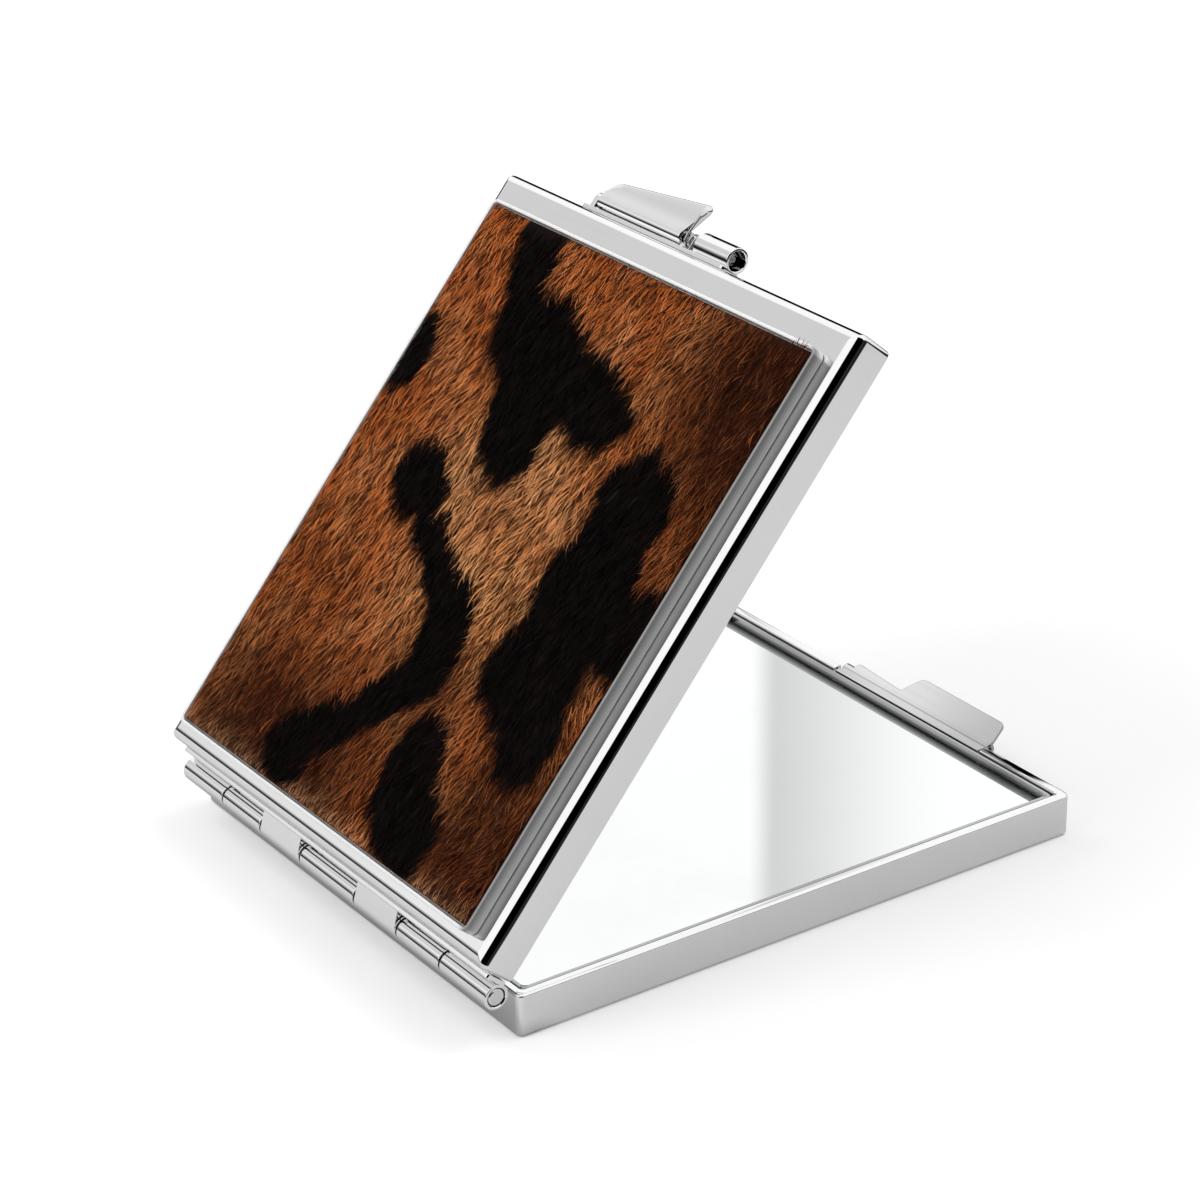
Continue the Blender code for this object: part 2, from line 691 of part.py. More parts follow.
def spring_left():
    """Where the coil starts, in the middle of the room between the lever and the tube."""
    return (LEVER_RIGHT + TUBE_LEFT) / 2 - SPRING_PITCH * SPRING_TURNS / 2


def spring_right():
    return spring_left() + SPRING_PITCH * SPRING_TURNS


def spring_points():
    """A leg out over the wing, the coil round the axle, and a leg in to the strip's hole."""
    top = SPRING_MEAN_RADIUS
    points = [(spring_left(), SPRING_LEG, top)]
    count = SPRING_TURNS * COIL_STEPS
    for step in range(count + 1):
        angle = math.pi / 2 + 2 * math.pi * step / COIL_STEPS
        x = spring_left() + SPRING_PITCH * step / COIL_STEPS
        points.append((x, SPRING_MEAN_RADIUS * math.cos(angle), SPRING_MEAN_RADIUS * math.sin(angle)))
    points.append((spring_right(), WALL_Y + SEAT_GAP + STRIP_THICKNESS / 2 - LATCH_Y, top))
    return points


def least_coil_gap(points):
    """The least gap between neighbouring turns, surface to surface."""
    coil = points[1:-1]
    gaps = []
    for index, first in enumerate(coil):
        for second in coil[index + COIL_STEPS // 2 :]:
            if abs(second[0] - first[0]) > SPRING_PITCH / 2:
                gaps.append(math.dist(first, second) - SPRING_WIRE)
    return min(gaps)


def make_lever_spring():
    points = spring_points()
    print("least gap between the spring's turns, mm:", round(1000 * least_coil_gap(points), 3))
    curve = bpy.data.curves.new("lever_spring", "CURVE")
    curve.dimensions = "3D"
    curve.bevel_depth = SPRING_WIRE / 2
    curve.bevel_resolution = WIRE_RESOLUTION
    curve.use_fill_caps = True
    spline = curve.splines.new("POLY")
    spline.points.add(len(points) - 1)
    for point, (x, y, z) in zip(spline.points, points):
        point.co = (x, y, z, 1)
    spring = add_piece("lever_spring", curve)
    place(spring, 0, LATCH_Y, LATCH_Z)
    material = bpy.data.materials.new("lever_spring_finish")
    material.use_nodes = True
    shader = material.node_tree.nodes["Principled BSDF"]
    shader.inputs["Base Color"].default_value = (0.5, 0.5, 0.5, 1)
    shader.inputs["Metallic"].default_value = 1
    shader.inputs["Roughness"].default_value = 0.3
    curve.materials.append(material)
    return spring


def make_pivot(name, x, y, z):
    pivot = bpy.data.objects.new(name, None)
    pivot.empty_display_size = CASE_WALL
    pivot.location = (x, y, z)
    PARTS.objects.link(pivot)
    return pivot


def make_base():
    make_base_shell()
    make_glazing("base")
    make_hinge_leaf("base_hinge_leaf", 1, -1)
    make_hinge_pin()
    make_keeper_rail()


def make_lid():
    """The lid on the closed case, then opened about the hinge."""
    lid_pivot = make_pivot("lid_pivot", 0, HINGE_Y, HINGE_Z)
    turned_over = [chrome(make_half_shell("lid_shell", LID_CORNER, LID_FILLET)), *make_glazing("lid")]
    for piece in turned_over:
        piece.location.z = LID_FACE_Z - piece.location.z
        piece.rotation_euler = UPSIDE_DOWN
    pieces = [
        *turned_over,
        make_hinge_leaf("lid_hinge_leaf", 0, 1),
        make_hide_tray(),
        *make_hide_stack(),
        make_latch_bracket(),
        make_lever_axle(),
        make_lever_spring(),
    ]
    lever_pivot = make_pivot("lever_pivot", 0, LATCH_Y, LATCH_Z)
    carry(make_catch_lever(), lever_pivot)
    for piece in (*pieces, lever_pivot):
        carry(piece, lid_pivot)
    lid_pivot.rotation_euler.x = math.radians(LID_OPEN_DEG)


make_base()
make_lid()
bpy.context.view_layer.update()
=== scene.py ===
# %% [markdown]
# A folding pocket mirror with a hide panel on its lid. The measured model comes in as a fixed
# frame, in metres. Its solids are right in size, but their rounds are too coarse for polished
# metal, where every facet shows. So this script gives each solid a finer piece of its own, and it
# adds the hair, the studio and the camera.

# %% Load the measured model
import math
import random

import bmesh
import bpy
from mathutils import Matrix, Vector, noise


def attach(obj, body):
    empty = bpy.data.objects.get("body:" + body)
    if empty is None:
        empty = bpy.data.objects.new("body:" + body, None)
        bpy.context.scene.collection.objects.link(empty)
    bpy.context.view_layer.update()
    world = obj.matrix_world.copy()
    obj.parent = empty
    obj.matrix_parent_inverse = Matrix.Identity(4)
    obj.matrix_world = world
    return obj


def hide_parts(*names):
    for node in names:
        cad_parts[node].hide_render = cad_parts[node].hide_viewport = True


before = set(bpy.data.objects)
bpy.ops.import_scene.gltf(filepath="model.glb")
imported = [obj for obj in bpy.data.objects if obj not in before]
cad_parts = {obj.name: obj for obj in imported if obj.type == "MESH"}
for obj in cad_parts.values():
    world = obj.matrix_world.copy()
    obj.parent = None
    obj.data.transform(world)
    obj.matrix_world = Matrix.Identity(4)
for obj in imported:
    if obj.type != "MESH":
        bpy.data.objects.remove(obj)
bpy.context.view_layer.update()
print("solids to dress:", len(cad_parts))

# %% [markdown]
# The camera stands behind the hinge, to the right, and looks down by about 25 degrees. It could
# be placed by eye and moved until the picture looks right. Here its place, turn and lens were
# worked out from the corners of both trays in the picture, so the trays line up without any
# shift.

# %% Camera
LENS, SENSOR = 109.598, 36
CAMERA_PLACE = (0.288826, -0.205158, 0.191066)
CAMERA_TURN = (65.0623, 0.5088, 54.9414)

camera_data = bpy.data.cameras.new("camera")
camera_data.lens = LENS
camera_data.sensor_width = SENSOR
camera = bpy.data.objects.new("camera", camera_data)
camera.location = CAMERA_PLACE
camera.rotation_euler = [math.radians(turn) for turn in CAMERA_TURN]
bpy.context.scene.collection.objects.link(camera)
bpy.context.scene.camera = camera
bpy.context.scene.view_settings.view_transform = "Standard"
print("the camera stands", round(1000 * camera.location.length), "mm from the base's middle")

# %% [markdown]
# A finish is a small sum of textures. Written with node calls alone, such sums are hard to read,
# so a wrapper round a socket lets Python's own operators add the Math nodes. Every other node
# comes from one method, which sets it up and links it.


# %% Shader sums as Python expressions
class Signal:
    """A value that varies over a surface. Sums with it add Math nodes to its graph."""

    def __init__(self, graph, socket):
        self.graph = graph
        self.socket = socket

    def math(self, operation, *values):
        sockets = dict(enumerate(values))
        return self.graph.node("ShaderNodeMath", {"operation": operation}, sockets)

    def vector(self, operation, *others, out=0):
        """Does the same with places, by Vector Math. Output 1 is a plain number."""
        sockets = dict(enumerate((self, *others)))
        return self.graph.node("ShaderNodeVectorMath", {"operation": operation}, sockets, out)

    def __add__(self, other):
        return self.math("ADD", self, other)

    def __sub__(self, other):
        return self.math("SUBTRACT", self, other)

    def __mul__(self, other):
        return self.math("MULTIPLY", self, other)

    def __radd__(self, other):
        return self.math("ADD", other, self)

    def __rsub__(self, other):
        return self.math("SUBTRACT", other, self)

    def __rmul__(self, other):
        return self.math("MULTIPLY", other, self)


class Graph:
    """The node tree of one finish or of the sky."""

    def __init__(self, tree):
        self.tree = tree
        tree.nodes.clear()

    def node(self, kind, settings=None, sockets=None, out=0):
        """Adds a node with its settings, fills its sockets and returns one of its outputs."""
        node = self.tree.nodes.new(kind)
        for name, value in (settings or {}).items():
            setattr(node, name, value)
        for key, value in (sockets or {}).items():
            if isinstance(value, Signal):
                self.tree.links.new(value.socket, node.inputs[key])
            else:
                node.inputs[key].default_value = value
        return Signal(self, node.outputs[out] if node.outputs else None)

    def mix(self, share, first, second):
        """A colour between two colours."""
        settings = {"data_type": "RGBA"}
        return self.node("ShaderNodeMix", settings, {0: share, 6: first, 7: second}, out=2)


# %% [markdown]
# Every finish starts from the place on its piece, spreads some noise over it and ends in one
# Principled shader. Painted pictures could do the same, but noise has no seams and needs no
# unwrapping. These few helpers are the words that all the finishes share.

# %% Helpers for finishes
MM = 0.001
X, Y, Z = 0, 1, 2
BLACK, WHITE = (0, 0, 0, 1), (1, 1, 1, 1)


def grey(level, cast=0.0):
    """A neutral colour. A cast above 0 makes it cooler, and one below 0 makes it warmer."""
    return (level, level, level + cast, 1)


def new_finish(name):
    """A new material and the place on its piece, in metres, as the closed case lies."""
    material = bpy.data.materials.new(name)
    material.use_nodes = True
    print("finish:", name)
    return material, Graph(material.node_tree).node("ShaderNodeTexCoord", out="Object")


def close_finish(graph, sockets):
    shader = graph.node("ShaderNodeBsdfPrincipled", {}, sockets)
    graph.node("ShaderNodeOutputMaterial", {}, {"Surface": shader})


def speckle(place, scale, detail=2.0, stretch=(1, 1, 1)):
    """Noise from 0 to 1, with its grain drawn out along an axis where stretch is small."""
    sockets = {"Vector": place.vector("MULTIPLY", stretch), "Scale": scale, "Detail": detail}
    return place.graph.node("ShaderNodeTexNoise", {}, sockets)


def between(value, low, high, start=0.0, end=1.0):
    """Runs smoothly from start to end as the value goes from low to high."""
    sockets = {0: value, 1: low, 2: high, 3: start, 4: end}
    return value.graph.node("ShaderNodeMapRange", {"interpolation_type": "SMOOTHSTEP"}, sockets)


def part_of(place, axis):
    return place.graph.node("ShaderNodeSeparateXYZ", {}, {0: place}, out=axis)


def shade_over(place, axis, low, high, start, end):
    """Runs from start to end as the place goes from low to high, in mm, along an axis."""
    return between(part_of(place, axis), MM * low, MM * high, start, end)


# %% [markdown]
# The chrome on such cases is electroplated over stamped steel. It is nearly a perfect mirror, but
# the steel under it is never quite flat, and pockets and fingers leave hairlines and a faint
# haze. A plain metal without them would look too clean. So the finish is a metal whose roughness
# follows a soft haze and drawn-out hairlines, and whose bump is a very slow wave. The same
# recipe, with other tints, makes every steel piece of the case.


# %% Metal, and the polished chrome
def metal(name, light, dark, smooth, hazy, wave, hairline, bare=1.0, fade=None):
    """Plated or bare steel: light and dark are its tints, smooth and hazy its roughness.

    wave and hairline are how high its slow waves and its fine scratches stand. bare is how
    metallic it looks, and fade gives how much of its tint is left at a place.
    """
    material, place = new_finish(name)
    graph = place.graph
    haze = between(speckle(place, scale=90, detail=3.0), 0.35, 0.75)
    lines = between(speckle(place, scale=900, detail=1.0, stretch=(0.04, 1, 1)), 0.62, 0.75)
    height = wave * speckle(place, scale=45, detail=1.0) + hairline * lines
    relief = {"Strength": 0.15, "Distance": 0.001, "Height": height}
    tint = graph.mix(haze * 0.6 + lines * 0.4, light, dark)
    if fade:
        tint = graph.mix(fade(place), BLACK, tint)
    sockets = {
        "Base Color": tint,
        "Metallic": bare,
        "Roughness": smooth + (hazy - smooth) * (haze * 0.5 + lines * 0.5),
        "Normal": graph.node("ShaderNodeBump", {}, relief),
    }
    close_finish(graph, sockets)
    return material


POLISHED = {"smooth": 0.02, "hazy": 0.06, "wave": 0.0015, "hairline": 0.0008}
chrome = metal("polished_chrome", grey(0.91, 0.005), grey(0.87, 0.005), **POLISHED)

# %% [markdown]
# Every piece is drawn in millimetres, closed and lying on its base, as the drawing of such a
# mirror would show it. What belongs to the lid is then turned about the hinge by the angle at
# which the mirror stands open. Boxes with a Bevel modifier would be quicker, but polished metal
# shows every fault of a bevel, so the pieces are laid up from rings of points whose rounds are
# exact.

# %% From rings of points to a piece
HINGE_Y, HINGE_Z = -37.95, 5.05
OPEN_ANGLE = 50.2
SHARP_ANGLE = 40
to_hinge = Matrix.Translation((0, MM * HINGE_Y, MM * HINGE_Z))
OPENED = to_hinge @ Matrix.Rotation(math.radians(OPEN_ANGLE), 4, "X") @ to_hinge.inverted()
print("the lid stands open by", OPEN_ANGLE, "degrees")


def stack(form, rings, ends=True):
    """Joins rings of points by bands of faces.

    The ends are closed, or else the last ring meets the first.
    """
    rows = [[form.verts.new(point) for point in ring] for ring in rings]
    pairs = list(zip(rows, rows[1:]))
    if ends:
        form.faces.new(rows[0])
        form.faces.new(rows[-1])
    else:
        pairs.append((rows[-1], rows[0]))
    for low, high in pairs:
        for index in range(len(low)):
            form.faces.new((low[index - 1], low[index], high[index], high[index - 1]))


def show(name, mesh, body, node):
    """Shows a mesh as a piece that rides on its body and stands for a node."""
    piece = bpy.data.objects.new(name, mesh)
    bpy.context.scene.collection.objects.link(piece)
    piece.matrix_world = Matrix.Identity(4) if body == "base" else OPENED
    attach(piece, body)
    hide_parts(node)
    print(name, "has", len(mesh.polygons), "faces")
    return piece


def even_out(piece, split=SHARP_ANGLE):
    """Weighs the shading by area, so that flat faces meet their rounds without a border."""
    piece.data.set_sharp_from_angle(angle=math.radians(split))
    shading = piece.modifiers.new("even_shading", "WEIGHTED_NORMAL")
    shading.keep_sharp = True


def settle(name, form, body, finish, split=SHARP_ANGLE):
    """Makes the shown piece of a node from the gathered faces."""
    bmesh.ops.recalc_face_normals(form, faces=form.faces)
    mesh = bpy.data.meshes.new("seen_" + name)
    form.to_mesh(mesh)
    form.free()
    mesh.transform(Matrix.Scale(MM, 4))
    mesh.shade_smooth()
    mesh.materials.append(finish)
    piece = show("seen_" + name, mesh, body, name)
    even_out(piece, split)
    return piece


# %% [markdown]
# Three kinds of ring cover the whole case. Trays and glass are stacks of rounded rectangles, the
# barrels, the pin and the axle are turned, and the leaves and tabs are cut from plate.


# %% Rounded rectangles and arcs
def rounded(half_x, half_y, radius, z, middle_y=0.0, steps=10):
    """A rounded rectangle at a height."""
    points = []
    for side_x, side_y, start in ((1, -1, -90), (1, 1, 0), (-1, 1, 90), (-1, -1, 180)):
        for step in range(steps + 1):
            angle = math.radians(start + 90 * step / steps)
            x = side_x * (half_x - radius) + radius * math.cos(angle)
            y = side_y * (half_y - radius) + radius * math.sin(angle)
            points.append((x, middle_y + y, z))
    return points


def arc(centre, radius, start, end, steps):
    """Points on an arc, with angles in degrees."""
    points = []
    for step in range(steps + 1):
        angle = math.radians(start + (end - start) * step / steps)
        across, up = radius * math.cos(angle), radius * math.sin(angle)
        points.append((centre[0] + across, centre[1] + up))
    return points


# %% Turned shapes
def circle(x, radius, y, z, steps=56):
    """A ring round an axis along X."""
    turns = [2 * math.pi * step / steps for step in range(steps)]
    return [(x, y + radius * math.cos(turn), z + radius * math.sin(turn)) for turn in turns]


def turned(form, profile, y, z, ends=True):
    """A turned shape along X, from points of place along X and radius."""
    stack(form, [circle(x, radius, y, z) for x, radius in profile], ends)


def tube(form, left, right, outer, bore, y, z, edge=0.12):
    """A tube with rounded outer ends and a fine break inside them."""
    fine = edge / 2
    profile = arc((right - edge, outer - edge), edge, 0, 90, 4)
    profile += arc((left + edge, outer - edge), edge, 90, 180, 4)
    profile += [(left, bore + fine), (left + fine, bore)]
    profile += [(right - fine, bore), (right, bore + fine)]
    turned(form, profile, y, z, ends=False)


# %% [markdown]
# A plate is its outline, drawn inward by a little at its upper and lower edge. That gives the
# broken edges that a stamped and polished sheet has. The outlines are given by their corners,
# each with the radius of its round, as on a maker's drawing.

# %% Outlines of plates
MITRE_LIMIT = 0.4


def shrunk(outline, amount):
    """The outline drawn inward by an amount. It runs anticlockwise."""
    points = []
    for index, (x, y) in enumerate(outline):
        before = Vector(outline[index - 1])
        here = Vector((x, y))
        after = Vector(outline[(index + 1) % len(outline)])
        into = (here - before).normalized()
        out = (after - here).normalized()
        middle = Vector((-into.y - out.y, into.x + out.x)).normalized()
        share = max(MITRE_LIMIT, middle.dot(Vector((-into.y, into.x))))
        points.append(tuple(here + middle * (amount / share)))
    return points


def softened(corners, steps=6):
    """An outline whose corners, given as x, y and radius, are rounded."""
    points = []
    for index, (x, y, radius) in enumerate(corners):
        here = Vector((x, y))
        if radius == 0:
            points.append((x, y))
            continue
        into = (Vector(corners[index - 1][:2]) - here).normalized()
        out = (Vector(corners[(index + 1) % len(corners)][:2]) - here).normalized()
        half = into.angle(out) / 2
        centre = here + (into + out).normalized() * (radius / math.sin(half))
        first = here + into * (radius / math.tan(half)) - centre
        last = here + out * (radius / math.tan(half)) - centre
        sweep = first.angle_signed(last)
        for step in range(steps + 1):
            ray = first.copy()
            ray.rotate(Matrix.Rotation(-sweep * step / steps, 2))
            points.append(tuple(centre + ray))
    return points


# %% Plates, and the ways they stand
def plate(form, outline, thickness, edge, put):
    """A plate with rounded edges. put turns a point of the outline and a height into a place."""
    half = thickness / 2
    rings = []
    for inward, height in arc((0, half - edge), edge, 90, 0, 4):
        rings.append((edge - inward, height))
    rings += [(inset, -height) for inset, height in reversed(rings)]
    stack(form, [[put(u, v, w) for u, v in shrunk(outline, inset)] for inset, w in rings])


def tilted(y, z, degrees):
    """For an outline in x and reach: the plate rises by an angle from an axis."""
    rise = math.radians(degrees)

    def put(u, v, w):
        out = v * math.cos(rise) - w * math.sin(rise)
        up = v * math.sin(rise) + w * math.cos(rise)
        return (u, y + out, z + up)

    return put


def standing(y, z):
    """For an outline in x and height: the plate stands across Y."""
    return lambda u, v, w: (u, y - w, z + v)


def crosswise(x, y, z):
    """For an outline in y and height: the plate stands across X."""
    return lambda u, v, w: (x + w, y + u, z + v)


# %% [markdown]
# Each half of the case is one deep-drawn tray. A box could be hollowed by a cut, but drawing the
# tray as rings gives each round its own radius: over the round of the face, up the outer wall,
# over the rim, down the inner wall and across the floor. The lid's face has a larger round than
# the base's, as the broad black and white stripes down the lid's right side show.

# %% The trays
LID_FACE = 10.1


def tray_rings(
    half_x, half_y, height, wall, floor, corner, inner_corner, fillet, rim, middle_y=0.0
):
    """The rings of a tray, from its outer face to the floor inside."""
    profile = [(fillet - x, fillet - z) for x, z in arc((0, 0), fillet, 90, 0, 10)]
    outer = [(inset, z, max(0.1, corner - inset)) for inset, z in profile]
    crown = arc((rim, height - rim), rim, 180, 90, 6)
    crown += arc((wall - rim, height - rim), rim, 90, 0, 6)
    for inset, z in crown:
        share = inset / wall
        outer.append((inset, z, (1 - share) * corner + share * inner_corner))
    outer.append((wall, floor, inner_corner))
    return [rounded(half_x - i, half_y - i, r, z, middle_y) for i, z, r in outer]


def case_tray(corner, fillet):
    shape = {"corner": corner, "inner_corner": 0.5, "fillet": fillet, "rim": 0.32}
    return tray_rings(half_x=31.0, half_y=36.0, height=4.9, wall=1.2, floor=0.9, **shape)


def over(rings):
    """Turns a half of the case over, into the lid's place."""
    return [[(x, y, LID_FACE - z) for x, y, z in ring] for ring in rings]


form = bmesh.new()
stack(form, case_tray(corner=0.8, fillet=0.5))
base_shell = settle("base_shell", form, "base", chrome)

form = bmesh.new()
stack(form, over(case_tray(corner=0.6, fillet=1.3)))
settle("lid_shell", form, "lid", chrome)

# %% [markdown]
# The base's front wall is notched where the keeper rail sits. A notch would break up every ring
# of the tray, so it is cut afterwards with a Boolean, and the cut result takes the tray's place.

# %% The notch in the base
NOTCH_LEFT, NOTCH_RIGHT, NOTCH_FLOOR = -8.9, 17.2, 3.3
NOTCH_Y, CUTTER_SIZE = 35.4, 3.0


def cut_notch(piece):
    cutter = bmesh.new()
    verts = bmesh.ops.create_cube(cutter, size=1.0)["verts"]
    size = (NOTCH_RIGHT - NOTCH_LEFT, CUTTER_SIZE, CUTTER_SIZE)
    middle = ((NOTCH_LEFT + NOTCH_RIGHT) / 2, NOTCH_Y, NOTCH_FLOOR + CUTTER_SIZE / 2)
    bmesh.ops.scale(cutter, vec=size, verts=verts)
    bmesh.ops.translate(cutter, vec=middle, verts=verts)
    mesh = bpy.data.meshes.new("notch")
    cutter.to_mesh(mesh)
    cutter.free()
    mesh.transform(Matrix.Scale(MM, 4))
    tool = bpy.data.objects.new("notch", mesh)
    bpy.context.scene.collection.objects.link(tool)
    cut = piece.modifiers.new("notch", "BOOLEAN")
    cut.object = tool
    cut.operation = "DIFFERENCE"
    cut.solver = "EXACT"
    piece.modifiers.move(1, 0)
    bpy.context.view_layer.update()
    depsgraph = bpy.context.evaluated_depsgraph_get()
    shape = bpy.data.meshes.new_from_object(piece.evaluated_get(depsgraph))
    piece.modifiers.clear()
    piece.data = shape
    even_out(piece)
    bpy.data.objects.remove(tool)
    print("the notched tray has", len(shape.polygons), "faces")


cut_notch(base_shell)

# %% [markdown]
# Inside each tray lie foam tape, the glass and a thin dark frame that holds the glass down. A
# mirror is plate glass with silver behind it. Two surfaces would each need their own reflection,
# so it is made as one bright metal with a trace of finger haze. The frame darkens toward the
# glass, which shades it, and in the picture it is the dark inner wall under the bright rim.


# %% Finishes of glass, foam and frame
def silvered_glass():
    """A mirror's front, with finger haze that is only just there."""
    material, place = new_finish("silvered_glass")
    smudge = between(speckle(place, scale=60, detail=4.0), 0.5, 0.8)
    dust = between(speckle(place, scale=2500, detail=0.0), 0.78, 0.82)
    clean, dimmed = (0.945, 0.96, 0.965, 1), (0.90, 0.915, 0.92, 1)
    sockets = {
        "Base Color": place.graph.mix(smudge * 0.5 + dust * 0.3, clean, dimmed),
        "Metallic": 0.93 - smudge * 0.04,
        "Roughness": smudge * 0.03 + dust * 0.05,
    }
    close_finish(place.graph, sockets)
    return material


def foam_tape():
    """Closed-cell foam: black, matt and finely pitted."""
    material, place = new_finish("foam_tape")
    graph = place.graph
    cells = graph.node("ShaderNodeTexVoronoi", {}, {"Vector": place, "Scale": 5000.0})
    pits = {"Strength": 0.5, "Distance": 0.0001, "Height": cells}
    sockets = {
        "Base Color": graph.mix(cells, grey(0.02), grey(0.05)),
        "Roughness": 0.8 + cells * 0.15,
        "Normal": graph.node("ShaderNodeBump", {}, pits),
    }
    close_finish(graph, sockets)
    return material


def frame_steel(name, low, high, start, end):
    """Satin steel that fades from start to end of its tint between two heights."""
    surface = {"smooth": 0.10, "hazy": 0.2, "wave": 0.004, "hairline": 0.004}

    def fade(place):
        return shade_over(place, Z, low, high, start, end)

    return metal(name, grey(0.62, 0.01), grey(0.5, 0.01), **surface, fade=fade)


glass = silvered_glass()
foam = foam_tape()
base_frame_steel = frame_steel("base_frame_steel", 3.9, 4.7, 0.12, 0.85)
lid_frame_steel = frame_steel("lid_frame_steel", 5.4, 6.2, 0.85, 0.12)

# %% The mirrors
PAD_HALF_X, PAD_HALF_Y = 28.5, 33.5
PAD_HEIGHTS = (1.12, 1.58)
PANE_HALF_X, PANE_HALF_Y, PANE_CORNER = 29.6, 34.6, 0.5
# insets and heights over the outer face
GLASS_LEVELS = ((0, 1.8), (0, 3.47), (0.04, 3.55), (0.13, 3.594))
FRAME_LEVELS = ((0, 3.8), (0, 4.52), (0.08, 4.6), (0.42, 4.6), (0.5, 4.52), (0.5, 3.8))


def pane_rings(levels):
    rings = []
    for inset, z in levels:
        rings.append(rounded(PANE_HALF_X - inset, PANE_HALF_Y - inset, PANE_CORNER, z))
    return rings


def glazing(half, turn, frame_finish):
    """The three pieces inside one half of the case, which turn puts into their place."""
    form = bmesh.new()
    stack(form, turn([rounded(PAD_HALF_X, PAD_HALF_Y, PANE_CORNER, z) for z in PAD_HEIGHTS]))
    settle(half + "_adhesive_pad", form, half, foam)
    form = bmesh.new()
    stack(form, turn(pane_rings(GLASS_LEVELS)))
    settle(half + "_mirror", form, half, glass)
    form = bmesh.new()
    stack(form, turn(pane_rings(FRAME_LEVELS)), ends=False)
    settle(half + "_mirror_frame", form, half, frame_finish)


glazing("base", lambda rings: rings, base_frame_steel)
glazing("lid", over, lid_frame_steel)

# %% [markdown]
# The hinge is a rolled barrel in seven sections. Four belong to the lid's leaf and three to the
# base's, with a pin through all of them. A leaf is stamped flat and its tongues are rolled into
# barrels. Here the flat part is a plate with a neck for each tongue, and the barrels are tubes.
# Two of the lid's sections run up to their leaf in a straight cheek, which leaves the small black
# triangles beside them in the picture.

# %% The hinge's leaves and barrels
BARREL_LENGTHS = (8.3, 7.7, 7.9, 10.5, 7.9, 7.7, 8.3)
BARREL_GAP = 0.3
BARREL_RADIUS, BARREL_BORE = 1.4, 1.04
LEAF_OUT = 1.5
LEAF_NEAR, LEAF_FAR, LEAF_CORNER = 1.3, 2.6, 0.3

spans = []
edge_x = -(sum(BARREL_LENGTHS) + BARREL_GAP * (len(BARREL_LENGTHS) - 1)) / 2
for length in BARREL_LENGTHS:
    spans.append((edge_x, edge_x + length))
    edge_x += length + BARREL_GAP
print("the barrel runs from", round(spans[0][0], 2), "to", round(spans[-1][1], 2), "mm")


def leaf_outline(barrels, side):
    """A strip with a neck for each barrel section, in x and height from the axis."""
    near, far = side * LEAF_NEAR, side * LEAF_FAR
    corners = [(barrels[0][0], 0, 0)]
    for left, right in barrels:
        if left != barrels[0][0]:
            corners += [(left, near, LEAF_CORNER), (left, 0, 0)]
        corners.append((right, 0, 0))
        if right != barrels[-1][1]:
            corners.append((right, near, LEAF_CORNER))
    corners += [(barrels[-1][1], far, LEAF_CORNER), (barrels[0][0], far, LEAF_CORNER)]
    outline = softened(corners)
    return outline if side > 0 else outline[::-1]


def cheek_outline():
    """Off the barrel at a tangent and up to the leaf, in y and height from the axis."""
    back, top, foot = 1.25, 2.1, 0.4
    away = math.hypot(back, top)
    touch = math.atan2(top, back) + math.acos(BARREL_RADIUS / away)
    outline = [(1.2, foot), (LEAF_OUT, foot), (LEAF_OUT, top), (back, top)]
    outline.append((BARREL_RADIUS * math.cos(touch), BARREL_RADIUS * math.sin(touch)))
    return [*outline, (0.6, 1.1)]


def hinge_leaf(name, body, first, side):
    form = bmesh.new()
    barrels = spans[first::2]
    leaf = leaf_outline(barrels, side)
    plate(form, leaf, thickness=0.5, edge=0.08, put=standing(HINGE_Y + LEAF_OUT, HINGE_Z))
    for left, right in barrels:
        tube(form, left, right, BARREL_RADIUS, BARREL_BORE, HINGE_Y, HINGE_Z)
    if side > 0:
        for left, right in (spans[2], spans[4]):
            put = crosswise((left + right) / 2, HINGE_Y, HINGE_Z)
            plate(form, cheek_outline(), thickness=right - left - 0.2, edge=0.05, put=put)
    settle(name, form, body, chrome)


hinge_leaf("base_hinge_leaf", "base", first=1, side=-1)
hinge_leaf("lid_hinge_leaf", "lid", first=0, side=1)

# %% [markdown]
# The pin is drawn wire, cut to length and rounded at its ends, one of which shows as a bright
# disc in the right end of the barrel. It is one turned shape, in a steel a little duller than
# chrome.

# %% The hinge's pin
TURNED = {"smooth": 0.10, "hazy": 0.22, "wave": 0.01, "hairline": 0.02}
bright_steel = metal("bright_turned_steel", grey(0.80, -0.01), grey(0.68, -0.01), **TURNED)

PIN_FLAT, PIN_ROUND, PIN_CENTRE = 0.72, 0.22, 0.3
pin_end = spans[-1][1]
profile = [(pin_end, PIN_CENTRE)]
profile += arc((pin_end - PIN_ROUND, PIN_FLAT), PIN_ROUND, 0, 90, 6)
profile += arc((-pin_end + PIN_ROUND, PIN_FLAT), PIN_ROUND, 90, 180, 6)
profile.append((-pin_end, PIN_CENTRE))
form = bmesh.new()
turned(form, profile, HINGE_Y, HINGE_Z)
settle("hinge_pin", form, "base", bright_steel)

# %% [markdown]
# The keeper is a rolled rail in the base's front wall. Its plate starts as a low lip, dips, and
# flares into a tab for the thumb, and the roll's end is open. A rolled sheet could follow one
# curve, but its three parts are simple alone: a turned roll, a foot in the notch and a tilted
# tab. Its chrome has a greyer tint of its own that darkens to the right, which is a painted
# reflection of the darker studio that the tab mirrors.

# %% The keeper rail
# painted dim reflection: a greyer tint than the polished chrome, darker still to the right
painted_dim_chrome = metal(
    "painted_dim_chrome",
    grey(0.75, 0.005),
    grey(0.68),
    smooth=0.05,
    hazy=0.10,
    wave=0.0015,
    hairline=0.001,
    fade=lambda place: shade_over(place, X, -2.0, 18.0, 1.0, 0.66),
)

